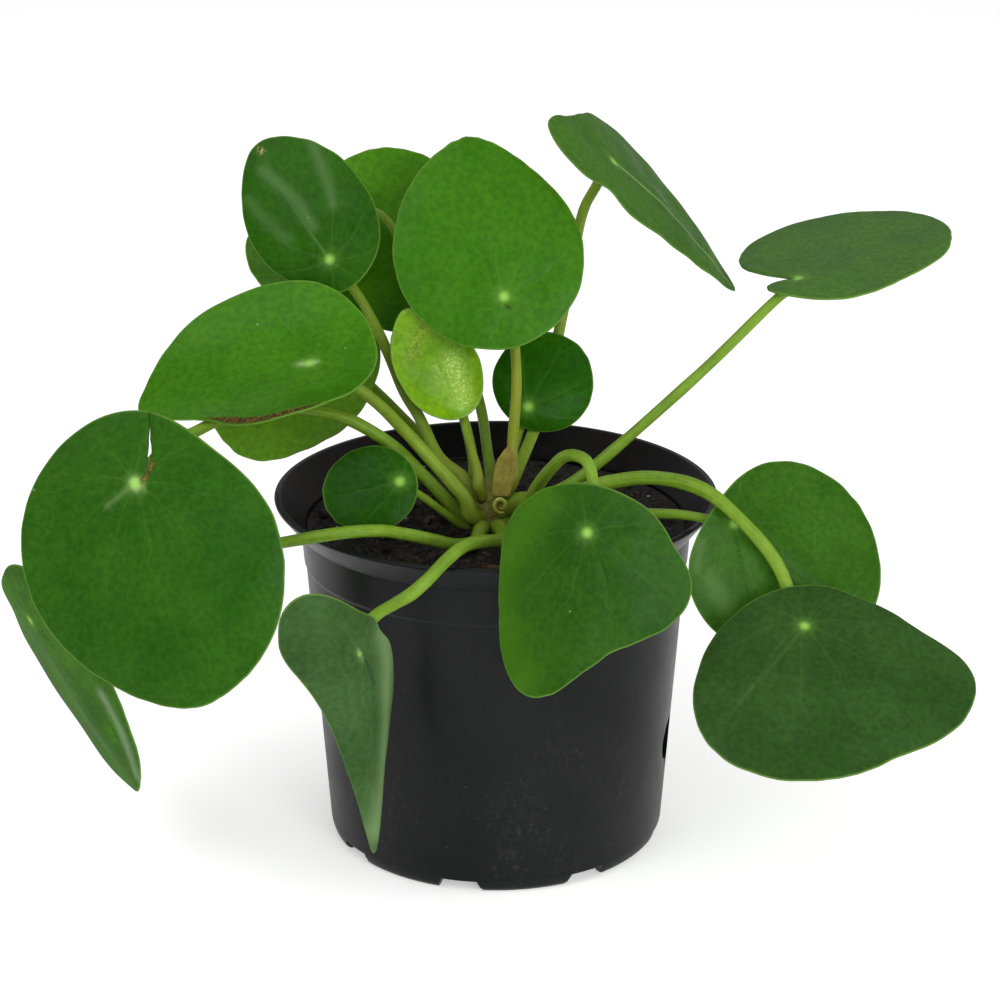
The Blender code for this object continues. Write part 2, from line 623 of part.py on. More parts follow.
def smooth_route(points, step):
    """A smooth curve through points, read every step or so along its length."""
    points = np.array(points, dtype=float)
    ends = (2 * points[0] - points[1], 2 * points[-1] - points[-2])
    points = np.vstack([ends[0], points, ends[1]])
    fine = []
    for a, b, c, d in zip(points, points[1:], points[2:], points[3:]):
        for t in np.linspace(0.0, 1.0, 16, endpoint=False):
            square, cube = 2 * a - 5 * b + 4 * c - d, 3 * b - a - 3 * c + d
            fine.append(0.5 * (2 * b + (c - a) * t + square * t**2 + cube * t**3))
    fine.append(points[-2])
    fine = np.array(fine)
    run = np.concatenate([[0.0], np.cumsum(np.linalg.norm(np.diff(fine, axis=0), axis=1))])
    count = max(4, int(round(run[-1] / step)) + 1)
    at = np.linspace(0.0, run[-1], count)
    return np.stack([np.interp(at, run, fine[:, axis]) for axis in range(3)], axis=1)


def stalk_route(leaf):
    """From the main stem's side, through the via points, to just under the spot."""
    bearing, height = leaf["joint"]
    away = outward(bearing)
    rise = math.radians(STALK_RISE + STALK_RISE_STEP * (height - LOWEST_JOINT))
    radius = leaf["thick"] / 2
    clear = stem_radius(height - radius * math.cos(rise)) + TOUCH_GAP + radius * math.sin(rise)
    start = np.array([*STEM_AXIS, height]) + away * clear
    second = start + 2.5 * (away * math.cos(rise) + np.array([0.0, 0.0, math.sin(rise)]))
    spot = np.array(leaf["spot"], dtype=float)
    normal = blade_axes(leaf)[2]
    arrival = spot - np.array(leaf["via"][-1], dtype=float)
    lean = math.sqrt(max(0.0, 1 - (arrival @ normal / np.linalg.norm(arrival)) ** 2))
    under = BLADE_THICKNESS / 2 + TOUCH_GAP + radius * STALK_TAPER * lean + 0.1
    return smooth_route([start, second, *leaf["via"], spot - normal * under], STALK_STEP)


def build_stalk(name, leaf):
    """A round tapering tube along the stalk's route."""
    route = stalk_route(leaf)
    curve = bpy.data.curves.new(name + "_stalk", "CURVE")
    curve.dimensions = "3D"
    curve.bevel_depth = leaf["thick"] / 2 * MM
    curve.bevel_resolution = 1
    curve.use_fill_caps = True
    spline = curve.splines.new("POLY")
    spline.points.add(len(route) - 1)
    for index, (point, place) in enumerate(zip(spline.points, route)):
        point.co = (*(place * MM), 1.0)
        point.radius = 1.0 + (STALK_TAPER - 1.0) * index / (len(route) - 1)
    return add_object(name + "_stalk", curve, "stalk_green")


def main():
    clear_scene()
    build_pot()
    build_soil()
    build_main_stem()
    build_stipule()
    build_bud()
    for name, leaf in LEAVES.items():
        build_stalk(name, leaf)
        build_blade(name, leaf)


main()
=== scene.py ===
import math

import bmesh
import bpy
import numpy as np
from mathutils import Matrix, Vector


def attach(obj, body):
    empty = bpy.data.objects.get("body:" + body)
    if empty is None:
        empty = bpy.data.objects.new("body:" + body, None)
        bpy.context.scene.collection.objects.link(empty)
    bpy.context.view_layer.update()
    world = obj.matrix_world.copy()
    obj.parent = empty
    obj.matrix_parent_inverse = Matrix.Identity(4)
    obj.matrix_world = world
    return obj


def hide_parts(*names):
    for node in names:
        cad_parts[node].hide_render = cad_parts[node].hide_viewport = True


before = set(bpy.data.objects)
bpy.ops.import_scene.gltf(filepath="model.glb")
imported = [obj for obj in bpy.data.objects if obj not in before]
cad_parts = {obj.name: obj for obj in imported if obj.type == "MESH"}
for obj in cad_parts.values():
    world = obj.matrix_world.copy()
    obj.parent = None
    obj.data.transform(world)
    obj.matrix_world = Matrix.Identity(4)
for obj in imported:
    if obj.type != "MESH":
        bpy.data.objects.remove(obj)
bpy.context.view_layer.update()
mm = 0.001
turn = math.tau
print("frame loaded:", len(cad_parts), "nodes")


# meshes

def gridFaces(rows, columns, closed=True):
    # quads between neighbouring rows; a closed grid joins its last column to its first
    row, column = np.meshgrid(np.arange(rows - 1), np.arange(columns - (not closed)), indexing="ij")
    after = (column + 1) % columns
    here, above = row * columns, (row + 1) * columns
    return np.stack((here + column, here + after, above + after, above + column), axis=-1).reshape(-1, 4)


def fanFaces(pole, ring, closed=True):
    # triangles from one point to each step of a ring
    fan = np.stack([np.full_like(ring, pole), ring, np.roll(ring, -1)], axis=-1)
    return fan if closed else fan[:-1]


def addObject(name, data):
    made = bpy.data.objects.new(name, data)
    bpy.context.scene.collection.objects.link(made)
    return made


def addPiece(name, points, faces, replaced, material):
    # points in millimetres; faces is a list of index arrays
    mesh = bpy.data.meshes.new(name)
    corners = [face for part in faces for face in part.tolist()]
    mesh.from_pydata((np.asarray(points) * mm).tolist(), [], corners)
    mesh.update()
    mesh.shade_smooth()
    mesh.materials.append(material)
    piece = addObject(name, mesh)
    if replaced:
        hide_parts(*replaced)
    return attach(piece, "root")


def pointOutwards(piece):
    # turns a closed mesh the right way round
    bm = bmesh.new()
    bm.from_mesh(piece.data)
    bmesh.ops.recalc_face_normals(bm, faces=bm.faces)
    bm.to_mesh(piece.data)
    bm.free()


def addClosed(name, grid, poles, replaced, material):
    # a grid of rings, each joined to the next, with a fan from each end to its pole
    rows, columns = grid.shape[:2]
    ring = np.arange(columns)
    faces = [gridFaces(rows, columns), fanFaces(rows * columns, ring)]
    faces.append(fanFaces(rows * columns + 1, (rows - 1) * columns + ring))
    piece = addPiece(name, np.vstack([grid.reshape(-1, 3), poles]), faces, replaced, material)
    pointOutwards(piece)
    return piece


def addFlatMap(piece, flat, name="flat"):
    # a UV map from one pair of values per vertex
    mesh = piece.data
    corner = np.empty(len(mesh.loops), dtype=np.int32)
    mesh.loops.foreach_get("vertex_index", corner)
    mesh.uv_layers.new(name=name).data.foreach_set("uv", flat[corner].astype(np.float32).ravel())


def addMask(piece, name, values):
    mask = piece.data.attributes.new(name, "FLOAT", "POINT")
    mask.data.foreach_set("value", np.asarray(values, dtype=np.float32).ravel())


def unit(vector):
    return vector / np.linalg.norm(vector, axis=-1, keepdims=True)


def eased(a, b, c, d, t):
    # the smooth curve from b to c at t from 0 to 1, with a before them and d after them
    return 0.5 * (2 * b + (c - a) * t + (2 * a - 5 * b + 4 * c - d) * t**2 + (3 * b - a - 3 * c + d) * t**3)


def outward(bearing):
    # level direction at a bearing, counted from the front towards the right
    return np.array([math.sin(math.radians(bearing)), -math.cos(math.radians(bearing)), 0.0])


def ripple(x, y, seed, longest, shortest, count=9):
    # a smooth random field near -1 to 1: sine waves of drawn directions, lengths and phases, added up
    total = 0.0
    for bearing, phase, mix in np.random.RandomState(seed).uniform(0.0, 1.0, (count, 3)):
        length = longest * (shortest / longest) ** mix
        along = x * math.cos(turn * bearing) + y * math.sin(turn * bearing)
        total = total + np.sin(turn * (along / length + phase))
    return total / math.sqrt(count)


# shader nodes

def addNode(tree, kind, inputs=None, **settings):
    made = tree.nodes.new("ShaderNode" + kind)
    for key, value in settings.items():
        setattr(made, key, value)
    for key, value in (inputs or {}).items():
        if isinstance(value, bpy.types.NodeSocket):
            tree.links.new(value, made.inputs[key])
        else:
            made.inputs[key].default_value = value
    return made


def calc(tree, operation, *values, clamp=False):
    return addNode(tree, "Math", dict(enumerate(values)), operation=operation, use_clamp=clamp).outputs[0]


def blend(tree, factor, first, second, kind="MIX"):
    # colours may be sockets or RGB triples
    inputs = {0: factor}
    for index, value in ((6, first), (7, second)):
        inputs[index] = value if isinstance(value, bpy.types.NodeSocket) else (*value, 1.0)
    return addNode(tree, "Mix", inputs, data_type="RGBA", blend_type=kind).outputs[2]


def ramp(tree, value, low, high, start=0.0, end=1.0):
    # an eased step from start to end as the value goes from low to high
    inputs = {0: value, 1: low, 2: high, 3: start, 4: end}
    return addNode(tree, "MapRange", inputs, interpolation_type="SMOOTHSTEP").outputs[0]


def newGroup(name, inputs, outputs):
    group = bpy.data.node_groups.new(name, "ShaderNodeTree")
    for title, value in inputs.items():
        kind = "Vector" if value is None else "Float" if isinstance(value, float) else "Color"
        socket = group.interface.new_socket(title, in_out="INPUT", socket_type="NodeSocket" + kind)
        if value is not None:
            socket.default_value = value if kind == "Float" else (*value, 1.0)
    for title, kind in outputs.items():
        group.interface.new_socket(title, in_out="OUTPUT", socket_type="NodeSocket" + kind)
    return group, group.nodes.new("NodeGroupInput").outputs, group.nodes.new("NodeGroupOutput").inputs


def useGroup(tree, group, **values):
    made = tree.nodes.new("ShaderNodeGroup")
    made.node_tree = group
    for title, value in values.items():
        if isinstance(value, bpy.types.NodeSocket):
            tree.links.new(value, made.inputs[title])
        else:
            made.inputs[title].default_value = value if isinstance(value, (int, float)) else (*value, 1.0)
    return made.outputs


def times(tree, first, second):
    return calc(tree, "MULTIPLY", first, second)


def noise(tree, place, scale, detail=2.0, roughness=0.5):
    inputs = {"Vector": place, "Scale": scale, "Detail": detail, "Roughness": roughness}
    return addNode(tree, "TexNoise", inputs).outputs[0]


def maskOf(tree, name):
    # reads a value that addMask stored on the piece
    return addNode(tree, "Attribute", attribute_name=name, attribute_type="GEOMETRY").outputs["Fac"]


def placeOn(tree):
    return addNode(tree, "TexCoord").outputs["Object"]


def newMaterial(name, shine, values={}):
    material = bpy.data.materials.new(name)
    material.use_nodes = True
    shader = material.node_tree.nodes["Principled BSDF"]
    for title, value in {"Specular IOR Level": shine, **values}.items():
        shader.inputs[title].default_value = value
    return material, material.node_tree, shader.inputs


def finish(tree, shader, colour, rough, height, strength, distance):
    # links the colour, the roughness and a bump; the distance is in millimetres
    tree.links.new(colour, shader["Base Color"])
    tree.links.new(rough, shader["Roughness"])
    bump = addNode(tree, "Bump", {"Height": height, "Strength": strength, "Distance": distance * mm})
    tree.links.new(bump.outputs[0], shader["Normal"])


# leafVeins: veins leave the dot at even angles and bend towards the tip as they run out. Their number at a
# place is angle x count / turn + bend x sin(angle) x distance, and a vein lies at each whole number.
# The net between them is the walls of Voronoi cells. Flat is the place on the blade in millimetres.
leafVeins, given, result = newGroup(
    "leafVeins",
    {"Flat": None, "Count": 9.0, "Bend": 0.02, "Width": 0.5, "Cell": 0.35},
    {"Veins": "Float", "Net": "Float", "Distance": "Float"},
)
wander = calc(leafVeins, "SUBTRACT", noise(leafVeins, given["Flat"], 0.08), 0.5)
flatPlace = addNode(leafVeins, "SeparateXYZ", {0: given["Flat"]}).outputs
fromDot = addNode(leafVeins, "VectorMath", {0: given["Flat"]}, operation="LENGTH").outputs["Value"]
around = calc(leafVeins, "ARCTAN2", flatPlace["Y"], flatPlace["X"])
perAngle = calc(leafVeins, "DIVIDE", given["Count"], turn)
pull = times(leafVeins, times(leafVeins, calc(leafVeins, "SINE", around), fromDot), given["Bend"])
number = calc(leafVeins, "MULTIPLY_ADD", around, perAngle, pull)
number = calc(leafVeins, "MULTIPLY_ADD", wander, 0.8, number)
perNumber = calc(leafVeins, "DIVIDE", fromDot, perAngle)
offVein = times(leafVeins, calc(leafVeins, "PINGPONG", number, 0.5), perNumber)
vein = ramp(leafVeins, offVein, 0.0, given["Width"], 1.0, 0.0)
fading = ramp(leafVeins, fromDot, 12.0, 34.0, 1.0, 0.35)
cells = addNode(
    leafVeins, "TexVoronoi", {"Vector": given["Flat"], "Scale": given["Cell"]}, feature="DISTANCE_TO_EDGE"
).outputs["Distance"]
leafVeins.links.new(times(leafVeins, vein, fading), result["Veins"])
leafVeins.links.new(ramp(leafVeins, cells, 0.0, 0.14, 1.0, 0.0), result["Net"])
leafVeins.links.new(fromDot, result["Distance"])

# twoTone: two colours in soft patches, shaded by a fine grain; the patches and the grain are given out too
twoTone, given, result = newGroup(
    "twoTone",
    {"First": (0.1, 0.1, 0.1), "Second": (0.2, 0.2, 0.2), "Patch": 60.0, "Fine": 900.0},
    {"Colour": "Color", "Patch": "Float", "Grain": "Float"},
)
place = placeOn(twoTone)
patch = noise(twoTone, place, given["Patch"], 3.0)
toned = blend(twoTone, ramp(twoTone, patch, 0.35, 0.65), given["First"], given["Second"])
mottle = noise(twoTone, place, times(twoTone, given["Fine"], 0.45))
shade = ramp(twoTone, mottle, 0.3, 0.7, 0.86, 1.14)
shadeColour = addNode(twoTone, "CombineColor", {0: shade, 1: shade, 2: shade}).outputs[0]
twoTone.links.new(blend(twoTone, 1.0, toned, shadeColour, "MULTIPLY"), result["Colour"])
twoTone.links.new(patch, result["Patch"])
twoTone.links.new(noise(twoTone, place, given["Fine"]), result["Grain"])

# specks: sparse round spots, at the middles of the few Voronoi cells whose drawn value is low
specks, given, result = newGroup("specks", {"Scale": 300.0, "Share": 0.1, "Size": 0.3}, {"Mask": "Float"})
cells = addNode(specks, "TexVoronoi", {"Vector": placeOn(specks), "Scale": given["Scale"]})
drawn = addNode(specks, "SeparateColor", {0: cells.outputs["Color"]}).outputs[0]
spot = ramp(specks, cells.outputs["Distance"], times(specks, given["Size"], 0.5), given["Size"], 1.0, 0.0)
specks.links.new(times(specks, spot, calc(specks, "LESS_THAN", drawn, given["Share"])), result["Mask"])


def toneOf(tree, look):
    # first and second are a look's two tones; patch and fine are how small its patches and its grain are
    sizes = dict(Patch=look["patch"], Fine=look["fine"])
    return useGroup(tree, twoTone, First=look["first"], Second=look["second"], **sizes)


print("node groups made")


# leaves

keelSoftness = 4.0  # half the width of the rounded crest along a keel
mapSize = 100.0  # millimetres of blade across the whole of its UV map
bladeStyle = dict(
    thickness=0.7, rimThin=0.35, rings=34, spokes=136, rimSteps=3, shrink=0.99,
    quilt=0.15, dimple=0.2, dimpleWidth=1.6, edge=0.1,
)
veinStyle = dict(
    main=dict(Count=9.0, Bend=0.02, Width=0.55), fine=dict(Count=36.0, Bend=0.05, Width=0.25, Cell=0.9),
    grooveWidth=0.9, groove=0.09,
)

# what a leaf is unless its own entry says otherwise
plainLeaf = dict(
    egg=0, point=0, cup=0, wave=(0, 3, 0), keel=0, furl=0, fold=0, arch=0, trim=(0, 0), slit=None, curl=None,
)
# spot is the dot, where the stalk meets the blade; face is the bearing and rise of the blade's upper side;
# joint is the stalk's bearing and height on the stem, and via are the points that the stalk passes
leafShapes = {
    "leaf_01": dict(
        spot=(-81, -55, 110), face=(-12, 20), spin=19, length=67, width=62, back=16, egg=0.04, point=1,
        fold=20, arch=15, wave=(0.8, 3, 40), trim=(2, 1, -7, -20, 6, 6, 3, 0),
        slit=(
            (0, 0.13, 0.26, 0.41, 0.63, 0.83, 1), (132, 139, 150, 157.3, 163, 165.3, 167),
            (2, 2.2, 2.5, 2.6, 0.8, 0.2, 0.2),
        ),
        joint=(-88, 85.8), thick=3.2,
        via=((-12.8, -11.5, 91.3), (-18, -12, 97.3), (-25, -13, 104.8), (-34, -14, 111),
             (-43, -13, 113.5), (-54, -12, 114), (-63, -14, 112.5), (-70.5, -20, 110.5),
             (-74.5, -29, 111), (-77.5, -42, 112)),
    ),
    "leaf_02": dict(
        spot=(-111, -26, 65), face=(-55, -20), spin=30, length=60, width=52, back=14, egg=0.1, point=1,
        fold=-10, keel=10, trim=(4, 0, -5, -9, -10, -5, 2, 11, -10, -16, -17, -9, 0, 5, 8, 7),
        joint=(-11, 83.8), thick=3.2,
        via=((-5, -20, 82.8), (-9.5, -26, 84.2), (-15, -32, 87.7), (-21, -37, 91), (-28, -40, 93),
             (-40, -42, 92.5), (-64, -38, 86), (-84, -34, 77), (-101, -28, 69)),
    ),
    "leaf_03": dict(
        spot=(-44, -10, 124), face=(-25, 60), spin=-62, length=59, width=54, back=17, egg=0.15,
        point=3, fold=-85, arch=10, curl=(34, 128, 3.2, 0.45), trim=(-3, -25, -13, -8, -3, -6, -11, -1),
        joint=(-32, 86.8), thick=3.4,
        via=((-7.4, -16.2, 92.3), (-11.4, -15.7, 97.2), (-17.1, -14, 103.3), (-22.8, -12, 109.1),
             (-28.3, -10, 114.2), (-36, -9, 119.7)),
    ),
    "leaf_04": dict(
        spot=(-47, 22, 119), face=(-10, 30), spin=-20, length=47, width=45, back=15, egg=0.05, fold=15,
        wave=(0.8, 4, 0), trim=(0, -12, -10, 0, 0, 0, 0, 2), joint=(-140, 87), thick=2.8,
        via=((-9, 0, 91), (-18, 9, 99), (-28, 19, 106), (-38, 27, 113)),
    ),
    "leaf_05": dict(
        spot=(-40, 10, 144), face=(-10, 20), spin=-143, length=41, width=32, back=8, point=0.5,
        fold=20, arch=10, trim=(3, -7, -10, -15, 8, 18, 6, 3), joint=(-108, 92), thick=3.0,
        via=((-8.6, -6, 94.5), (-14, -3, 98.5), (-18.6, 2.5, 106.5), (-22.6, 6, 112.5),
             (-27.2, 10, 122.7), (-32.7, 14, 132.5)),
    ),
    "leaf_06": dict(
        spot=(-42.5, 29, 139.5), face=(-15, 30), spin=-100, length=28, width=26, back=7, egg=0.05,
        fold=10, joint=(-152, 90), thick=2.6,
        via=((-5.6, -1, 97), (-7.5, 5, 104), (-10.5, 10, 112), (-16, 15, 124), (-20.5, 19, 137),
             (-24, 23.5, 146), (-29, 29, 150.5), (-35.5, 34.3, 148.5), (-40.5, 34.3, 143.3)),
    ),
    "leaf_07": dict(
        spot=(-31, -61, 71), face=(35, 0), spin=3, length=64, width=30, back=14, egg=0.65, point=2,
        keel=30, furl=35, trim=(-1, 3, 5, 8, 5, -22, -45, -38, -20, 45, 22, -16, -30, -30, -22, -11),
        joint=(24, 83.8), thick=3.4,
        via=((1.8, -20, 84.4), (1, -28, 86), (-3, -36.5, 89), (-7.5, -46, 91.3), (-11.6, -53.8, 90.6),
             (-15.3, -58, 88), (-19.2, -58.6, 84.6), (-23.2, -55.2, 80.8), (-27.3, -53.6, 77.5),
             (-30.4, -55.4, 74.3)),
    ),
    "leaf_08": dict(
        spot=(-22.6, -23, 99), face=(-5, 30), spin=-75, length=23, width=21, back=4, egg=0.05, cup=-1,
        joint=(-66, 83.8), thick=2.2,
        via=((-12, -15, 88), (-17, -18, 93)),
    ),
    "leaf_09": dict(
        spot=(-18, 30, 133), face=(0, 25), spin=-150, length=49, width=43, back=12, egg=0.05, fold=10,
        arch=10, joint=(172, 90), thick=2.8,
        via=((-2.2, 5, 97.5), (-3.6, 15, 104), (-7.5, 23, 116), (-13, 34, 128)),
    ),
    "leaf_10": dict(
        spot=(-8, 0, 109.5), face=(5, 12), spin=-150, length=29, width=20, back=1.5, egg=0.05, point=1,
        cup=3, joint=(-25, 93), thick=2.2,
        via=((-4.2, -12.5, 97), (-5.5, -8.5, 101), (-7.2, -2.5, 105)),
    ),
    "leaf_11": dict(
        spot=(2, -3, 138.5), face=(0, 22), spin=-168, length=51, width=45, back=12, egg=0.1, point=1,
        fold=15, arch=10, trim=(0, 4, 8, 6, 4, -4, -6, -9), joint=(90, 93), thick=2.8,
        via=((4, -5, 102), (5, -2, 117), (4, 2, 130)),
    ),
    "leaf_12": dict(
        spot=(8, 6, 108), face=(0, 25), spin=150, length=25, width=25, back=5, egg=0.05, cup=-2,
        joint=(150, 87), thick=2.2,
        via=((4, 2, 96), (6.5, 9.5, 102.5)),
    ),
    "leaf_13": dict(
        spot=(20.5, -64, 101.5), face=(-18, 25), spin=-8, length=50, width=50, back=10, egg=0.22,
        point=1, fold=15, arch=10, keel=15, joint=(60, 84.2), thick=3.2,
        trim=(-7, -17, -22, -15, -2, 6, -3, 7, 11, 4, -5, -13, -17, -14, -4, 1),
        via=((5.3, -18.5, 88.5), (7.6, -25, 94.5), (10.3, -32, 102), (13, -38.5, 108),
             (15.6, -43.5, 112.3), (18.3, -49, 114.5), (21, -54, 114), (22, -58, 108)),
    ),
    "leaf_14": dict(
        spot=(28, 12, 167.5), face=(78, 41), spin=18, length=65, width=46, back=23, egg=0.35, point=3,
        fold=15, arch=5, trim=(5, 9, 10, 13, 10, -11, -32, -38, -26, 10, -6, -35, -26, -27, -20, -7),
        joint=(130, 90), thick=3.0,
        via=((6, -1, 96), (11.5, 13.5, 106), (16, 21, 125), (18.5, 21, 139), (21, 19, 153), (24, 17, 160)),
    ),
    "leaf_15": dict(
        spot=(56, -30, 91), face=(15, 25), spin=48, length=48, width=49, back=9, egg=0.05, keel=8,
        trim=(3, 3, 1, -5, -30, -8, -4, 0), joint=(94, 83.8), thick=2.8,
        via=((17, -14, 86.5), (30, -18, 89), (44, -24, 91)),
    ),
    "leaf_16": dict(
        spot=(72, 0, 142), face=(-49, 78), spin=-178, length=57, width=57, back=10, fold=10, arch=10,
        slit=((0, 0.3, 0.6, 0.85, 0.94, 1), (153, 153, 153, 153, 153, 153), (8, 11, 13.5, 17, 21, 29)),
        trim=(5, 2, -3, -9, -12, -14, -24, -10), joint=(103, 87), thick=3.0,
        via=((15, -8, 91.5), (25, -6, 98), (49, -3, 119.5), (67, 0, 137)),
    ),
    "leaf_17": dict(
        spot=(71, -52, 74), face=(5, 60), spin=25, length=55, width=66, back=12, egg=0.05, fold=30,
        arch=10, trim=(-7, -2, 3, 1, -25, -34, -34, -16, 3, 7, 6, 8, 8, 4, 0, -4), joint=(72, 88.3),
        thick=3.7,
        via=((15, -16.5, 92.8), (27, -20, 97.8), (38, -25, 100.6), (49, -31, 99.5), (59, -36, 92),
             (66, -37.5, 83), (70, -43, 73)),
    ),
}


for seed, name in enumerate(leafShapes, 1):
    leafShapes[name] = {**plainLeaf, "seed": seed, **leafShapes[name]}

# what a blade looks like unless its own entry says otherwise
plainLook = dict(
    rough=0.42, coat=0.03, coatRough=0.25, shine=0.06, bump=0.12, patch=70.0, fine=1600.0,
    veins=0.05, vein=(0.14, 0.3, 0.04), net=0.02, below=(0.1, 0.2, 0.04),
    rim=0.45, rimWidth=0.6, rimColour=(0.16, 0.3, 0.04),
    paleAndSheen=(), paleAndSheenColour=(0.4, 0.55, 0.25), glintGrains=0,
    brownAndShade=(), brownAndShadeColour=(0.12, 0.05, 0.02), brownAndShadeSpread=(0.25, 2.6),
    halo=0.12, haloRange=(0.8, 4.0), dot=1.0, dotRange=(0.1, 1.9), dotColour=(0.26, 0.5, 0.08),
    specks=0.008, speckColour=(0.4, 0.5, 0.3),
)
leafLooks = {
    # pale and brown are strokes on the upper side, each with its points from the dot in millimetres along
    # and across, half its width and its strength. Pale strokes are real pale veins and dots, and some are
    # painted sheen and highlights; brown strokes are real brown marks, and some are dark lines of painted
    # shade in creases
    "leaf_01": dict(
        first=(0.013, 0.068, 0.002), second=(0.019, 0.082, 0.003),
        paleAndSheen=((((0, 0), (3.3, -8)), 0.7, 0.12), (((-0.3, 0), (0.6, 0.4)), 1.1, 0.8)),
        brownAndShade=((((0.3, 1.3), (-1.0, 3.2), (-3.4, 5.0)), 0.5, 0.8),), brownAndShadeColour=(0.08, 0.035, 0.01),
    ),
    # the pale strip is painted sheen on the far half of the fold, and the dark green stroke is painted shade
    # in the crease
    "leaf_02": dict(
        first=(0.024, 0.090, 0.003), second=(0.044, 0.140, 0.008), paleAndSheenColour=(0.26, 0.34, 0.22),
        rough=0.6, shine=0.04, coat=0.0, paleAndSheen=((((24, 14), (33, 12), (45, 5)), 1.8, 0.45),),
        brownAndShade=((((22, 8), (34, 8), (47, 2)), 0.8, 0.5),), brownAndShadeColour=(0.012, 0.05, 0.003),
    ),
    "leaf_03": dict(
        first=(0.033, 0.138, 0.002), second=(0.042, 0.158, 0.003), brownAndShadeColour=(0.06, 0.022, 0.005),
        paleAndSheen=((((-1.5, 0.2), (2.6, -0.4)), 0.8, 0.5),),
    ),
    # painted light: its greens are raised to make up for the shade of the leaves above it
    "leaf_04": dict(first=(0.090, 0.225, 0.009), second=(0.110, 0.260, 0.015)),
    # the three wide pale streaks are painted sheen in the shallow valleys; the thin stroke is the real
    # midrib
    "leaf_05": dict(
        first=(0.011, 0.064, 0.001), second=(0.016, 0.080, 0.001), rough=0.4, coat=0.03, shine=0.05,
        paleAndSheenColour=(0.075, 0.15, 0.045),
        paleAndSheen=(
            (((28, 2), (17, -1), (9, -1)), 1.5, 0.6), (((27, -12), (17, -10), (11, -8)), 1.5, 0.55),
            (((24, 9), (17, 8), (10, 6)), 1.6, 0.4), (((0, 0), (14, 0.6), (30, 0.3)), 0.35, 0.5),
        ),
        brownAndShade=((((32, -0.3), (32.6, -0.3)), 0.7, 0.7),), brownAndShadeColour=(0.25, 0.2, 0.08),
    ),
    # painted light: its greens are raised to make up for the shade of the leaves above it
    "leaf_06": dict(first=(0.036, 0.125, 0.003), second=(0.046, 0.150, 0.006)),
    # the wide pale strip is painted light and sheen on the half of the fold that faces the light; the short
    # stroke is the pale dot
    "leaf_07": dict(
        first=(0.026, 0.068, 0.014), second=(0.036, 0.086, 0.022), rough=0.5, veins=0.03,
        paleAndSheenColour=(0.17, 0.27, 0.11), halo=0.03, dot=0.55, dotColour=(0.2, 0.34, 0.08),
        paleAndSheen=(
            (((-2, 9.5), (8, 11), (20, 10.5), (33, 7.5), (46, 2)), 4.0, 0.7),
            (((-1.2, -0.4), (1.4, 0.4)), 0.5, 0.6),
        ),
        brownAndShade=(
            (((1.8, 1.2), (5, 2.4), (9, 4)), 0.5, 0.6), (((-3, -1.6), (-0.5, -2.2), (2.5, -1.4)), 0.4, 0.4),
            (((-5, -3.4), (-1, -4.4), (4, -3.4)), 0.4, 0.3),
        ),
        brownAndShadeColour=(0.01, 0.03, 0.006),
    ),
    "leaf_08": dict(first=(0.009, 0.054, 0.001), second=(0.013, 0.066, 0.001), shine=0.03),
    # painted light: its greens are raised to make up for the shade of the leaves above it
    "leaf_09": dict(first=(0.042, 0.160, 0.001), second=(0.054, 0.190, 0.002)),
    # the pale strokes are painted highlights on the crinkled gloss, broken up into glinting grains
    "leaf_10": dict(
        first=(0.105, 0.250, 0.002), second=(0.150, 0.310, 0.004), rough=0.32, coat=0.12, bump=0.14,
        paleAndSheenColour=(0.50, 0.68, 0.16), glintGrains=0.6,
        paleAndSheen=((((1, -1.5), (6, -2.5), (11, -3.5)), 2.7, 0.8), (((7, 1.5), (13, 0)), 1.8, 0.25)),
        brownAndShade=((((18, 4), (22, -2)), 2.0, 0.25),), brownAndShadeColour=(0.16, 0.13, 0.02),
    ),
    "leaf_11": dict(
        first=(0.026, 0.118, 0.001), second=(0.034, 0.134, 0.002),
        brownAndShade=((((-2.9, -0.7), (-2.5, -0.1)), 0.5, 0.9),), brownAndShadeColour=(0.006, 0.015, 0.002),
    ),
    "leaf_12": dict(first=(0.011, 0.075, 0.001), second=(0.016, 0.090, 0.001), rough=0.4, shine=0.03),
    "leaf_13": dict(
        first=(0.012, 0.058, 0.002), second=(0.018, 0.072, 0.003), paleAndSheenColour=(0.07, 0.2, 0.008),
        paleAndSheen=((((-6, -14), (8, -19), (22, -19), (36, -8)), 6.5, 0.35),),
    ),
    "leaf_14": dict(
        first=(0.034, 0.108, 0.006), second=(0.044, 0.128, 0.010), rim=0.2,
        paleAndSheen=((((0, 0), (6, 1.7), (12, 2.9), (19, 3.6), (27, 3.5), (36, 2.6), (46, 1)), 0.45, 0.35),),
    ),
    # the pale strokes are painted sheen on the left lobe, and the dark green line is painted shade along the
    # fold
    "leaf_15": dict(
        first=(0.019, 0.078, 0.002), second=(0.027, 0.094, 0.005), paleAndSheenColour=(0.12, 0.22, 0.07),
        paleAndSheen=((((3, -14), (10, -17)), 2.4, 0.35), (((-4, -9), (-1, -14)), 1.6, 0.3)),
        brownAndShade=((((0.5, -1.2), (13, -12)), 0.5, 0.45),), brownAndShadeColour=(0.008, 0.04, 0.002),
    ),
    "leaf_16": dict(first=(0.036, 0.108, 0.010), second=(0.050, 0.132, 0.016), rough=0.5, veins=0.06),
    "leaf_17": dict(
        first=(0.018, 0.056, 0.008), second=(0.025, 0.070, 0.012), rough=0.45, paleAndSheenColour=(0.1, 0.2, 0.06),
        paleAndSheen=((((0, 0), (3.2, -6), (7.6, -17), (13, -32)), 0.4, 0.18),), brownAndShadeColour=(0.008, 0.02, 0.006),
        brownAndShade=((((25, 20), (25.4, 20)), 0.5, 0.8), (((25, -18), (25.4, -18)), 0.5, 0.7)),
    ),
}


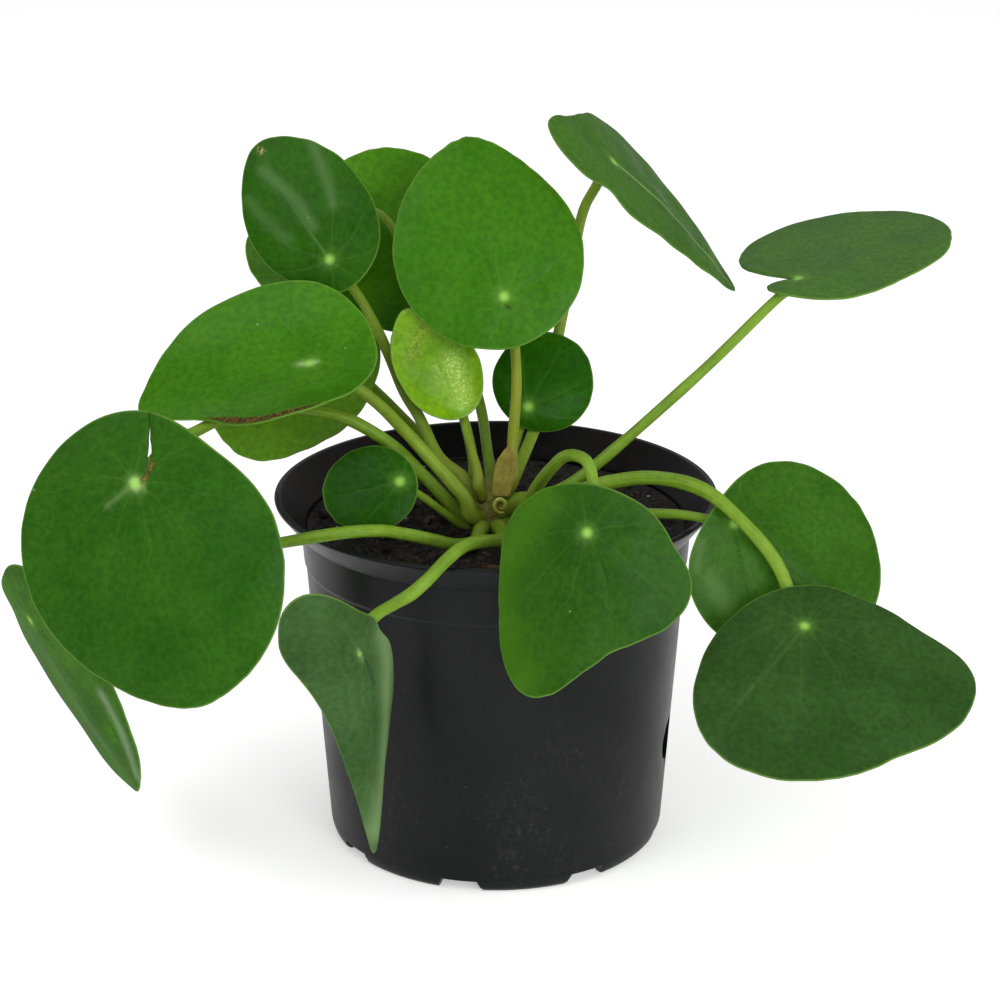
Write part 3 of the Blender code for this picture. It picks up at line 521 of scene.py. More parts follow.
def smoothRound(values, angle):
    # a smooth closed curve through evenly spaced values round the turn
    values = np.asarray(values, dtype=float)
    place = np.mod(angle, turn) / turn * len(values)
    index = np.floor(place).astype(int)
    near = (values[(index + step) % len(values)] for step in (-1, 0, 1, 2))
    return eased(*near, place - index)


def bladeAxes(shape):
    # tip, side and normal directions: face gives the normal, and spin turns the tip away from downhill
    bearing, rise = shape["face"]
    upright = np.array([0.0, 0.0, 1.0])
    normal = outward(bearing) * math.cos(math.radians(rise)) + upright * math.sin(math.radians(rise))
    downhill = unit(normal * normal[2] - upright)
    spin = math.radians(shape["spin"])
    tip = math.cos(spin) * downhill + math.sin(spin) * np.cross(normal, downhill)
    return tip, np.cross(normal, tip), normal


def bladeOutline(shape, angle):
    # an egg-shaped outline round the dot, with a point at the tip and a trim in percent
    fromTip = np.mod(angle + math.pi, turn) - math.pi
    length, width = shape["length"], shape["width"]
    along = length / 2 * np.cos(angle) + length / 2 - shape["back"]
    along = along + shape["point"] * np.exp(-((fromTip / 0.3) ** 2))
    across = width / 2 * np.sin(angle) * (1 - shape["egg"] * np.cos(angle))
    trim = 1 + smoothRound(shape["trim"], angle) / 100
    return along * trim, across * trim


def rolled(position, rise, bend):
    # wraps a flat strip round a cylinder; bend is the angle turned per millimetre
    if not bend:
        return position, rise
    radius = 1 / bend
    return (radius + rise) * np.sin(bend * position), (radius + rise) * np.cos(bend * position) - radius


def bladeForm(shape, along, across, reach, angle):
    # cup and wave lift the rim, keel folds it along the middle, fold rolls it across and arch along
    height, count, phase = shape["wave"]
    rise = shape["cup"] * reach**2 + height * reach**3 * np.sin(count * angle + math.radians(phase))
    keel = np.radians(shape["keel"] + shape["furl"] * along / shape["length"])
    hang = np.sqrt(across**2 + keelSoftness**2) - keelSoftness
    rise = rise - np.sin(keel) * hang
    across = across - np.sign(across) * hang * (1 - np.cos(keel))
    across, rise = rolled(across, rise, math.radians(shape["fold"]) / shape["width"])
    along, rise = rolled(along, rise, math.radians(shape["arch"]) / shape["length"])
    return along, across, rise


def bladePoint(shape, reach, angle):
    # the middle sheet: outline x reach with a faintly uneven rim, then the relief and the blade's form
    along, across = bladeOutline(shape, angle)
    size = np.hypot(along, across)
    uneven = ripple(size * np.cos(angle), size * np.sin(angle), shape["seed"] + 60, 16, 5)
    scale = reach * (bladeStyle["shrink"] + bladeStyle["edge"] * uneven / size * reach**2)
    along, across = along * scale, across * scale
    detail = bladeRelief(shape, along, across, reach, angle)
    along, across, rise = bladeForm(shape, along, across, reach, angle)
    tip, side, normal = bladeAxes(shape)
    spot = np.array(shape["spot"], dtype=float)
    return spot + along[..., None] * tip + across[..., None] * side + (rise + detail)[..., None] * normal


def bladeRelief(shape, along, across, reach, angle):
    # veins as grooves at the same numbers as in leafVeins, quilting from sine waves, and a dimple at the dot
    distance = np.hypot(along, across)
    around = np.arctan2(across, along)
    count, bend = veinStyle["main"]["Count"], veinStyle["main"]["Bend"]
    number = around * count / turn + bend * np.sin(around) * distance
    offVein = np.abs(number - np.round(number)) * distance * turn / count
    groove = np.exp(-((offVein / veinStyle["grooveWidth"]) ** 2)) * np.clip(1 - reach, 0, 1) ** 0.5
    near = np.clip(distance / 8, 0, 1)
    soft = ripple(along, across, shape["seed"], 30, 9) * near
    dimple = np.exp(-((distance / bladeStyle["dimpleWidth"]) ** 2))
    relief = bladeStyle["quilt"] * soft - veinStyle["groove"] * groove * near - bladeStyle["dimple"] * dimple
    if shape["curl"]:  # part of the rim hangs down: first and last angle, width and drop
        fromRim = distance / np.maximum(reach, 0.01) * (1 - reach)
        relief = relief - shape["curl"][3] * np.clip(curlWidth(shape["curl"], angle) - fromRim, 0, None)
    return relief


def curlWidth(curl, angle):
    first, last, width = curl[:3]
    share = (np.degrees(np.mod(angle, turn)) - first) / (last - first)
    return width * np.sin(math.pi * np.clip(share, 0, 1)) ** 0.7


def bladeRows(shape):
    # rows run from the dot over the upper side, round the rim and back beneath: reach is the share of the
    # way to the rim, lift goes from 1 on the upper side to -1 on the lower one, and under from 0 to 1
    rings = bladeStyle["rings"]
    rimWidth = bladeStyle["thickness"] / shape["width"]
    upper = np.linspace(0, 1, rings + 1)[1:] ** 0.85 * (1 - rimWidth)
    bend = np.linspace(0, math.pi, bladeStyle["rimSteps"] + 2)[1:-1]
    reach = np.concatenate([upper, 1 - rimWidth + rimWidth * np.sin(bend), upper[::-1]])
    lift = np.concatenate([np.ones(rings), np.cos(bend), -np.ones(rings)])
    under = np.concatenate([np.zeros(rings), 0.5 - 0.5 * np.cos(bend), np.ones(rings)])
    return reach, lift, under


def bladeAngles(shape, reach, share):
    # the whole turn, less a tear: its middle and half its opening in degrees at a few shares of the way out
    if not shape["slit"]:
        return share * turn
    middle, half = (np.radians(np.interp(reach, shape["slit"][0], row)) for row in shape["slit"][1:])
    return middle + half + share * (turn - 2 * half)


def bladeNormals(shape, reach, angle):
    # the cross product of two short steps on the middle sheet, outwards and sideways
    step = 0.004
    reach = np.maximum(reach, 0.05)
    outwards = bladePoint(shape, reach + step, angle) - bladePoint(shape, reach - step, angle)
    sideways = bladePoint(shape, reach, angle + step) - bladePoint(shape, reach, angle - step)
    return unit(np.cross(outwards, sideways))


def bladeFaces(rows, spokes, torn):
    # the grid, a fan to the pole on each side and, where the blade is torn, the two sides of the tear
    top, bottom, ring = rows * spokes, rows * spokes + 1, np.arange(spokes)
    faces = [gridFaces(rows, spokes, not torn), fanFaces(top, ring, not torn)]
    faces.append(fanFaces(bottom, (rows - 1) * spokes + ring, not torn)[:, ::-1])
    for column, flip in ((0, 1), (spokes - 1, -1)) if torn else ():
        above = np.arange(rows // 2) * spokes + column
        below = (rows - 1 - np.arange(rows // 2)) * spokes + column
        wall = np.stack([above[:-1], below[:-1], below[1:], above[1:]], axis=-1)
        faces.append(wall[:, ::flip])
        faces.append(np.array([[top, bottom, below[0], above[0]]])[:, ::flip])
    return faces


def makeBlade(name):
    # a middle sheet with half the thickness added along its normals on either side
    shape, look = leafShapes[name], {**plainLook, **leafLooks[name]}
    spokes, torn = bladeStyle["spokes"], bool(shape["slit"])
    rows, lift, under = bladeRows(shape)
    reach, share = np.meshgrid(rows, np.arange(spokes) / (spokes - 1 if torn else spokes), indexing="ij")
    angle = bladeAngles(shape, reach, share)
    normals = bladeNormals(shape, reach, angle)
    thickness = bladeStyle["thickness"] * (1 - bladeStyle["rimThin"] * np.clip(reach, 0, 1) ** 6)
    points = bladePoint(shape, reach, angle) + normals * (lift[:, None] * thickness / 2)[..., None]
    spot = bladePoint(shape, np.zeros(1), np.zeros(1))[0]
    axis = unit(normals[0].mean(axis=0))
    poles = [spot + axis * bladeStyle["thickness"] / 2, spot - axis * bladeStyle["thickness"] / 2]
    blade = addPiece(
        name + "_leaf", np.vstack([points.reshape(-1, 3), poles]), bladeFaces(len(rows), spokes, torn),
        (name + "_blade",), leafMaterial(name, look),
    )
    pointOutwards(blade)
    addMask(blade, "under", np.append(np.repeat(under, spokes), (0.0, 1.0)))
    addBladeMasks(blade, shape, look, reach, angle)
    return blade


def addBladeMasks(blade, shape, look, reach, angle):
    # the flat map, the distance in from the rim and the strokes; the last two values are the poles
    along, across = bladeOutline(shape, angle)
    flat = np.stack([along * reach, across * reach], axis=-1).reshape(-1, 2)
    flat = np.vstack([flat, np.zeros((2, 2))])
    size = np.hypot(along, across)
    inset = size * (1 - reach)
    addFlatMap(blade, flat / mapSize + 0.5)
    addMask(blade, "inset", np.append(inset.ravel(), (size.mean(), size.mean())))
    masks = {kind: strokeMask(look[kind], flat) for kind in ("paleAndSheen", "brownAndShade")}
    if shape["curl"]:  # the curled part of the rim is dry and brown
        width = curlWidth(shape["curl"], angle)
        band = np.clip((width - inset) / 0.4, 0, 1) * np.clip((inset - 0.25) / 0.3, 0, 1)
        masks["brownAndShade"] = np.maximum(masks["brownAndShade"], 0.9 * np.append(band.ravel(), (0, 0)))
    for kind, mask in masks.items():
        addMask(blade, kind, mask)


def strokeMask(strokes, flat):
    # soft lines on the blade: each is its points, half its width and its strength
    total = np.zeros(len(flat))
    for points, width, strength in strokes:
        points = np.array(points, dtype=float)
        for start, end in zip(points, points[1:]):
            run = end - start
            share = np.clip((flat - start) @ run / max(run @ run, 0.01), 0, 1)
            away = np.linalg.norm(flat - start - share[:, None] * run, axis=1)
            total = np.maximum(total, strength * np.exp(-((away / width) ** 2)))
    return total


def leafMaterial(name, look):
    coat = {"Coat Roughness": look["coatRough"]}
    material, tree, shader = newMaterial(name + "Skin", look["shine"], coat)
    style = veinStyle
    flatMap = addNode(tree, "UVMap", uv_map="flat").outputs[0]
    middle = addNode(tree, "VectorMath", {0: flatMap, 1: (0.5, 0.5, 0)}, operation="SUBTRACT").outputs[0]
    flat = addNode(tree, "VectorMath", {0: middle, 3: mapSize}, operation="SCALE").outputs[0]
    veins = useGroup(tree, leafVeins, Flat=flat, **style["main"])
    fine = useGroup(tree, leafVeins, Flat=flat, **style["fine"])["Veins"]
    tone = toneOf(tree, look)
    inset, under, paleAndSheen, brownAndShade = (maskOf(tree, key) for key in ("inset", "under", "paleAndSheen", "brownAndShade"))
    colour = blend(tree, times(tree, veins["Veins"], look["veins"]), tone["Colour"], look["vein"])
    net = times(tree, calc(tree, "ADD", fine, veins["Net"]), look["net"])
    colour = blend(tree, net, colour, look["vein"])
    rim = ramp(tree, inset, 0.1, look["rimWidth"], look["rim"], 0.0)
    colour = blend(tree, rim, colour, look["rimColour"])
    # painted glints: where this is set, the painted highlight of the pale strokes breaks up into fine bright
    # grains
    if look["glintGrains"]:  # the pale strokes break up into fine bright grains
        paleAndSheen = times(tree, paleAndSheen, ramp(tree, tone["Grain"], 0.48, 0.62, 1 - look["glintGrains"], 1.0))
    # pale strokes: real pale veins and dots, and painted sheen and highlights where light glances off the
    # blade
    colour = blend(tree, paleAndSheen, colour, look["paleAndSheenColour"])
    dark, bright = (tuple(value * share for value in look["brownAndShadeColour"]) for share in look["brownAndShadeSpread"])
    # brown strokes: real brown marks and the dry curled rim, and dark lines of painted shade in creases and
    # folds
    colour = blend(tree, brownAndShade, colour, blend(tree, ramp(tree, tone["Grain"], 0.42, 0.62), dark, bright))
    halo = ramp(tree, veins["Distance"], *look["haloRange"], look["halo"], 0.0)
    colour = blend(tree, halo, colour, look["dotColour"])
    dotStart, dotEnd = (share * look["dot"] for share in look["dotRange"])
    dot = ramp(tree, veins["Distance"], dotStart, dotEnd, 0.9, 0.0)
    colour = blend(tree, dot, colour, look["dotColour"])
    dust = useGroup(tree, specks, Scale=420.0, Share=look["specks"], Size=0.16)["Mask"]
    colour = blend(tree, times(tree, dust, 0.3), colour, look["speckColour"])
    colour = blend(tree, times(tree, under, 0.9), colour, look["below"])
    rough = ramp(tree, tone["Patch"], 0.3, 0.7, look["rough"] - 0.05, look["rough"] + 0.08)
    rough = calc(tree, "ADD", rough, ramp(tree, tone["Grain"], 0.3, 0.7, -0.04, 0.04))
    rough = calc(tree, "ADD", rough, times(tree, under, 0.2), clamp=True)
    tree.links.new(ramp(tree, under, 0.0, 1.0, look["coat"], 0.0), shader["Coat Weight"])
    height = calc(tree, "MULTIPLY_ADD", veins["Veins"], -0.5, times(tree, fine, -0.25))
    height = calc(tree, "MULTIPLY_ADD", tone["Grain"], 0.3, height)
    height = calc(tree, "MULTIPLY_ADD", veins["Net"], -0.2, height)
    finish(tree, shader, colour, rough, height, 0.5, look["bump"])
    return material


# stalks

def smoothRoute(points, step):
    # a smooth curve through points, read every step or so along its length
    points = np.array(points, dtype=float)
    points = np.vstack([2 * points[0] - points[1], points, 2 * points[-1] - points[-2]])
    t = np.linspace(0, 1, 16, endpoint=False)[:, None, None]
    fine = eased(points[:-3], points[1:-2], points[2:-1], points[3:], t)
    fine = np.vstack([fine.transpose(1, 0, 2).reshape(-1, 3), points[-2]])
    run = np.append(0, np.cumsum(np.linalg.norm(np.diff(fine, axis=0), axis=1)))
    at = np.linspace(0, run[-1], max(6, int(round(run[-1] / step)) + 1))
    return np.stack([np.interp(at, run, fine[:, axis]) for axis in range(3)], axis=1), at


def tubePoints(route, radii, sides, endAxes=None, endLength=0.0, run=None):
    # rings square to the route, with frames turned along it from one to the next
    along = unit(np.gradient(route, axis=0))
    across = np.empty_like(along)
    across[0] = unit(np.cross(along[0], np.array([0.3, 0.2, 0.9])))
    for index in range(1, len(route)):
        carried = across[index - 1] - along[index] * (across[index - 1] @ along[index])
        across[index] = carried / np.linalg.norm(carried)
    up = np.cross(along, across)
    if endAxes is not None:  # the last rings lean over until they lie in the blade
        share = np.clip(1 - (run[-1] - run) / endLength, 0, 1)[:, None] ** 2
        flatAcross = across - (across @ endAxes)[:, None] * endAxes
        flatUp = up - (up @ endAxes)[:, None] * endAxes
        across = across + (unit(flatAcross) - across) * share
        up = up + (unit(flatUp) - up) * share
    angle = np.arange(sides) * turn / sides
    ring = np.cos(angle)[None, :, None] * across[:, None] + np.sin(angle)[None, :, None] * up[:, None]
    return route[:, None] + ring * np.asarray(radii).reshape(len(route), -1, 1)


def makeTube(name, route, radii, sides, slot, replaced, material, **ends):
    rings = tubePoints(route, radii, sides, **ends)
    return addClosed(name, rings, route[[0, -1]], replaced, material)


stalkStyle = dict(
    taper=0.8, rise=22.0, riseStep=4.0, lowest=83.8, gap=0.35, step=1.0, sides=20, uneven=0.03,
    flare=0.3, flareLength=5.0, rooted=4.0, neckFlare=0.15, neckLength=1.2,
)
stemShape = dict(
    axis=(-2.0, -9.0), top=95.0, low=70.0, sides=72, rows=110, scarPitch=2.1, scar=0.14, rugged=0.12,
    profile=((70.0, 3.4), (77.0, 4.2), (83.0, 4.7), (87.0, 4.5), (91.0, 3.6), (94.0, 2.2)),
)


def stemRadius(height):
    heights, radii = zip(*stemShape["profile"])
    return np.interp(height, heights, radii)


def stalkRoute(shape):
    # from inside the main stem, through the stalk's points, into the blade at its dot
    bearing, height = shape["joint"]
    away = outward(bearing)
    rise = math.radians(stalkStyle["rise"] + stalkStyle["riseStep"] * (height - stalkStyle["lowest"]))
    radius = shape["thick"] / 2
    clear = stemRadius(height - radius * math.cos(rise)) + stalkStyle["gap"] + radius * math.sin(rise)
    start = np.array([*stemShape["axis"], height]) + away * clear
    leave = away * math.cos(rise) + np.array([0, 0, math.sin(rise)])
    normal = bladeAxes(shape)[2]
    spot = np.array(shape["spot"], dtype=float)
    arrival = spot - np.array(shape["via"][-1])
    lean = math.sqrt(max(0, 1 - (arrival @ normal / np.linalg.norm(arrival)) ** 2))
    under = bladeStyle["thickness"] / 2 + stalkStyle["gap"] + radius * stalkStyle["taper"] * lean + 0.1
    ends = [spot - normal * under, spot - normal * 0.2]
    route, run = smoothRoute([start, start + 2.5 * leave, *shape["via"], *ends], stalkStyle["step"])
    root = start - leave * (clear * 0.7)
    return np.vstack([root, (root + start) / 2, route]), np.append([0, clear * 0.35], run + clear * 0.7)


ripeStalks = dict(leaf_11=0.9, leaf_05=0.4, leaf_10=0.5, leaf_03=0.35, leaf_14=0.3)  # the more, the yellower
# the foot colour darkens each stalk near the stem: painted shade under the crown, fading out along the stalk
stalkLook = dict(
    shine=0.16, patch=90.0, fine=1500.0,
    first=(0.078, 0.182, 0.006), second=(0.125, 0.25, 0.014), streak=(0.19, 0.33, 0.04),
    upper=(0.15, 0.3, 0.02), foot=(0.085, 0.11, 0.012), footShadeLength=9.0, ripe=(0.21, 0.22, 0.014),
    marks=(0.2, 0.16, 0.05),
)


def makeStalk(name, material):
    shape, style = leafShapes[name], stalkStyle
    sides = style["sides"]
    route, run = stalkRoute(shape)
    share = run / run[-1]
    radii = shape["thick"] / 2 * (1 + (style["taper"] - 1) * share)
    foot = np.exp(-((run - style["rooted"]) / style["flareLength"]).clip(0) ** 2)
    neck = np.exp(-(((run[-1] - run) / style["neckLength"]) ** 2))
    radii = radii * (1 + style["flare"] * foot + style["neckFlare"] * neck)
    radii = radii * (1 + style["uneven"] * ripple(run, run * 0, shape["seed"] + 40, 26, 8))
    stalk = makeTube(
        name + "_petiole", route, radii, sides, "stalk_green", (name + "_stalk",), material,
        endAxes=bladeAxes(shape)[2], endLength=style["neckLength"], run=run,
    )
    around = np.tile(np.arange(sides) / sides, len(route)) * turn
    masks = {
        "run": (np.repeat(share, sides), (0, 1)),
        # painted shade near the stem, fading along the stalk
        "foot": (np.repeat(np.exp(-run / stalkLook["footShadeLength"]), sides), (1, 0)),
        "sideA": (np.cos(around), (0, 0)),
        "sideB": (np.sin(around), (0, 0)),
        "length": (np.repeat(run, sides), (0, run[-1])),
    }
    for key, (rings, ends) in masks.items():
        addMask(stalk, key, np.append(rings, ends))
    addMask(stalk, "ripe", np.full(len(run) * sides + 2, ripeStalks.get(name, 0.15)))
    return stalk


def stalkMaterial():
    look = stalkLook
    material, tree, shader = newMaterial("stalkSkin", look["shine"])
    keys = ("run", "foot", "sideA", "sideB", "length", "ripe")
    run, foot, sideA, sideB, length, ripe = (maskOf(tree, key) for key in keys)
    tone = toneOf(tree, look)
    stretched = addNode(tree, "CombineXYZ", {
        0: times(tree, sideA, 2.6), 1: times(tree, sideB, 2.6), 2: times(tree, length, 0.06),
    }).outputs[0]
    streak = noise(tree, stretched, 1.6, 3.0)
    colour = blend(tree, ramp(tree, streak, 0.35, 0.65, 0.0, 0.5), tone["Colour"], look["streak"])
    colour = blend(tree, ramp(tree, run, 0.45, 1.0, 0.0, 0.45), colour, look["upper"])
    # painted shade: darker towards the stem, where the crown shades the stalks
    colour = blend(tree, ramp(tree, foot, 0.0, 0.8, 0.0, 0.85), colour, look["foot"])
    colour = blend(tree, times(tree, ripe, 0.8), colour, look["ripe"])
    marks = useGroup(tree, specks, Scale=500.0, Share=0.08, Size=0.3)["Mask"]
    colour = blend(tree, times(tree, marks, 0.35), colour, look["marks"])
    rough = ramp(tree, tone["Grain"], 0.3, 0.7, 0.34, 0.48)
    finish(tree, shader, colour, rough, calc(tree, "MULTIPLY_ADD", streak, 0.8, tone["Grain"]), 0.4, 0.12)
    return material


# pot

potShape = dict(
    height=88.5, wall=1.3, lip=54.0, rimDepth=7.1, rimFoot=48.8, bodyTop=47.7, band=71.5, bandStep=0.4,
    base=41.3, baseRound=2.2, footWidth=2.4, pad=31.0, channel=3.4, floor=1.4,
    notches=8, notchBearing=-12.5, notchHeight=3.0, notchLow=11.4, notchTop=8.6, notchInner=36.0,
    drain=2.2, drainCircle=34.9, sideBearings=(79.0, 259.0), sideHeight=26.5, sideHole=5.5,
)


def bodyRadius(height):
    pot = potShape
    spread = pot["bodyTop"] - pot["bandStep"] - pot["base"]
    return pot["base"] + spread * height / (pot["height"] - pot["rimDepth"])


def filleted(corners, steps=4):
    # each corner is radius, height and the length of its rounding; straight runs stay straight
    corners = np.array(corners, dtype=float)
    line = [corners[0, :2]]
    for before, here, after in zip(corners, corners[1:], corners[2:]):
        back, ahead = before[:2] - here[:2], after[:2] - here[:2]
        cut = min(here[2], 0.45 * np.linalg.norm(back), 0.45 * np.linalg.norm(ahead))
        a, b = here[:2] + unit(back) * cut, here[:2] + unit(ahead) * cut
        t = np.linspace(0, 1, steps + 1)[:, None]
        line.extend((1 - t) ** 2 * a + 2 * t * (1 - t) * here[:2] + t**2 * b)
    line.append(corners[-1, :2])
    return np.array(line)


def potProfile():
    # half the section: from the axis under the floor, up the outside, over the rim and down to the axis
    pot = potShape
    base, wall, top, band, foot = pot["base"], pot["wall"], pot["height"], pot["band"], pot["baseRound"]
    rimFoot = top - pot["rimDepth"]
    footInner = base - foot * 0.5 - pot["footWidth"]
    channel, floorTop, floor = pot["channel"], pot["channel"] + pot["floor"], pot["floor"]
    lip, pad, bodyTop = pot["lip"], pot["pad"], pot["bodyTop"]
    return filleted([
        (0, 0, 0), (pad, 0, 0.5), (pad + 0.9, channel, 0.4), (footInner - 0.6, channel, 0.4),
        (footInner, 0, 0.3), (base - foot * 0.75, 0, 0.3), (base - foot * 0.2, foot * 0.45, 0.8),
        (bodyRadius(foot * 1.4), foot * 1.4, 1.2), (bodyRadius(band * 0.25), band * 0.25, 0),
        (bodyRadius(band * 0.5), band * 0.5, 0), (bodyRadius(band * 0.75), band * 0.75, 0),
        (bodyRadius(band), band, 0.25), (bodyRadius(band + 0.7) + pot["bandStep"], band + 0.7, 0.3),
        (bodyTop, rimFoot - 0.2, 0.35), (pot["rimFoot"], rimFoot, 0.4), (lip - 0.15, top - 0.9, 0.5),
        (lip, top - 0.4, 0.3), (lip - 0.4, top, 0.3), (lip - wall - 0.1, top, 0.3),
        (lip - wall - 0.6, top - 0.5, 0.3), (pot["rimFoot"] - wall, rimFoot + 0.9, 0.5),
        (bodyTop - wall, rimFoot - 0.4, 0.4), (bodyRadius(band) + pot["bandStep"] - wall, band + 1.0, 0.4),
        (bodyRadius(floorTop + 1.6) - wall, floorTop + 1.6, 0.8),
        (bodyRadius(0) - wall - 1.2, floorTop, 0.8),
        (pad - floor, floorTop, 0.4), (pad - floor - 0.9, floor, 0.4), (0, floor, 0),
    ])


def makeRevolved(name, profile, angles, replaced, material, reshape):
    # the profile runs from the axis to the axis and is carried round it; reshape then moves its points
    inner = profile[1:-1]
    height, angle = np.meshgrid(inner[:, 1], angles, indexing="ij")
    radius = np.repeat(inner[:, :1], len(angles), axis=1)
    radius, height = reshape(radius, height, angle)
    grid = np.stack([radius * np.cos(angle), radius * np.sin(angle), height], axis=-1)
    poles = [(0, 0, profile[0, 1]), (0, 0, profile[-1, 1])]
    return addClosed(name, grid, poles, replaced, material)


def cutRods(piece, rods):
    # cuts round holes: each rod is its middle, its direction, its radius and its length
    bm = bmesh.new()
    for middle, direction, radius, length in rods:
        size = dict(radius1=radius * mm, radius2=radius * mm, depth=length * mm)
        made = bmesh.ops.create_cone(bm, cap_ends=True, segments=40, **size)
        lay = Vector(direction).to_track_quat("Z", "Y").to_matrix().to_4x4()
        lay.translation = Vector(middle) * mm
        bmesh.ops.transform(bm, matrix=lay, verts=made["verts"])
    mesh = bpy.data.meshes.new("cutter")
    bm.to_mesh(mesh)
    bm.free()
    cutter = addObject("cutter", mesh)
    cut = piece.modifiers.new("holes", "BOOLEAN")
    cut.object, cut.solver = cutter, "EXACT"
    applyModifiers(piece)
    bpy.data.objects.remove(cutter)
    bpy.data.meshes.remove(mesh)


def applyModifiers(piece):
    bpy.context.view_layer.update()
    shaped = bpy.data.meshes.new_from_object(piece.evaluated_get(bpy.context.evaluated_depsgraph_get()))
    piece.modifiers.clear()
    old, piece.data = piece.data, shaped
    bpy.data.meshes.remove(old)


def notched(radius, height, angle):
    # the foot ring is lifted over eight notches with slanted ends
    pot = potShape
    pitch = turn / pot["notches"]
    first = math.radians(pot["notchBearing"]) - turn / 4
    away = np.abs(np.mod(angle - first + pitch / 2, pitch) - pitch / 2) * pot["base"]
    slope = (pot["notchLow"] - pot["notchTop"]) / 2
    lift = pot["notchHeight"] * np.clip((pot["notchLow"] / 2 - away) / slope, 0, 1)
    return radius, np.where(radius >= pot["notchInner"], np.maximum(height, lift), height)


def makePot():
    pot = potShape
    pitch = 360 / pot["notches"]
    edge = math.degrees(pot["notchLow"] / 2 / pot["base"])
    top = math.degrees(pot["notchTop"] / 2 / pot["base"])
    half = pitch / 2
    stops = ((-half, -edge, 13), (-edge, -top, 4), (-top, top, 12), (top, edge, 4), (edge, half, 13))
    steps = np.concatenate([np.linspace(*stop)[:-1] for stop in stops])  # close together at a notch's ends
    steps = np.concatenate([steps + pitch * index for index in range(pot["notches"])])
    angles = np.radians(steps + pot["notchBearing"] - 90)
    profile, material = potProfile(), potMaterial()
    piece = makeRevolved("nursery_pot", profile, angles, ("pot",), material, notched)
    rods = []
    for index in range(pot["notches"]):
        away = outward(pot["notchBearing"] + (index + 0.5) * pitch)
        rods.append((away * pot["drainCircle"] + (0, 0, pot["channel"]), (0, 0, 1), pot["drain"], 8.0))
    for bearing in pot["sideBearings"]:
        away = outward(bearing)
        middle = away * (bodyRadius(pot["sideHeight"]) - pot["wall"] / 2) + (0, 0, pot["sideHeight"])
        rods.append((middle, away, pot["sideHole"], 6.0))
    cutRods(piece, rods)
    return piece


potLook = dict(
    shine=0.13, patch=30.0, fine=2200.0,
    first=(0.004, 0.0045, 0.0045), second=(0.007, 0.0075, 0.0075), dust=(0.075, 0.072, 0.065),
    dots=(0.12, 0.11, 0.09), mudDark=(0.0015, 0.0015, 0.002), mudPale=(0.01, 0.007, 0.006),
)


def potMaterial():
    pot, look = potShape, potLook
    material, tree, shader = newMaterial("potPlastic", look["shine"])
    tone = toneOf(tree, look)
    place = placeOn(tree)
    height = addNode(tree, "SeparateXYZ", {0: place}).outputs["Z"]
    dusty = noise(tree, place, 55.0, 5.0, 0.65)
    powder = noise(tree, place, 750.0, 4.0, 0.7)
    cloud = times(tree, ramp(tree, height, 0.0, 0.06, 0.35, 0.06), ramp(tree, dusty, 0.45, 0.65))
    lowDust = times(tree, cloud, ramp(tree, powder, 0.5, 0.72))
    colour = blend(tree, lowDust, tone["Colour"], look["dust"])
    dots = useGroup(tree, specks, Scale=420.0, Share=0.05, Size=0.16)["Mask"]
    colour = blend(tree, times(tree, dots, 0.2), colour, look["dots"])
    # the inside wall is dirtied by soil: it is told from the outside by its distance from the rim's slope
    flatPlace = addNode(tree, "VectorMath", {0: place, 1: (1.0, 1.0, 0.0)}, operation="MULTIPLY").outputs[0]
    reach = addNode(tree, "VectorMath", {0: flatPlace}, operation="LENGTH").outputs["Value"]
    slope = (pot["lip"] - pot["rimFoot"]) / pot["rimDepth"]
    rimLine = calc(tree, "MULTIPLY_ADD", height, slope, -slope * pot["height"] * mm)
    inner = calc(tree, "SUBTRACT", reach, rimLine)
    dirty = ramp(tree, inner, (pot["lip"] - 1.4) * mm, (pot["lip"] - 0.9) * mm, 1.0, 0.0)
    mud = blend(tree, ramp(tree, dusty, 0.4, 0.65), look["mudDark"], look["mudPale"])
    colour = blend(tree, dirty, colour, mud)
    rough = calc(tree, "ADD", ramp(tree, dusty, 0.3, 0.7, 0.33, 0.43), times(tree, lowDust, 0.3))
    finish(tree, shader, colour, rough, tone["Grain"], 0.25, 0.06)
    return material


soilShape = dict(level=80.4, heap=4.0, lump=0.55, seed=7, rings=84, spokes=330, gap=0.1)
soilLook = dict(
    shine=0.25, patch=420.0, fine=3000.0,
    first=(0.0035, 0.003, 0.003), second=(0.014, 0.009, 0.007), crumb=(0.04, 0.022, 0.012),
    crack=(0.003, 0.003, 0.002),
)
# loose bits on the soil; stretch is their length and lift is how far they stand out, both by their size
soilBits = {
    "dark_crumbs": dict(
        skin="crumbs", count=420, seed=5, size=(0.5, 1.3), stretch=(0.8, 1.5), lift=-0.1,
        first=(0.004, 0.003, 0.003), second=(0.022, 0.014, 0.010), rough=0.8,
    ),
    "bark_chips": dict(
        skin="bark", count=70, seed=6, size=(0.4, 1.0), stretch=(1.6, 3.2), lift=0.1,
        first=(0.02, 0.011, 0.006), second=(0.10, 0.05, 0.02), rough=0.75,
    ),
    "perlite": dict(
        skin="perlite", count=34, seed=8, size=(0.3, 0.75), stretch=(0.8, 1.3), lift=0.05,
        first=(0.12, 0.10, 0.07), second=(0.36, 0.32, 0.24), rough=0.7,
    ),
}
bitStyle = dict(
    reach=43.5, fromStem=7.0, bumps=0.28, flat=(0.5, 0.9), pitch=0.5,
    shine=0.3, patch=500.0, fine=4000.0,
)


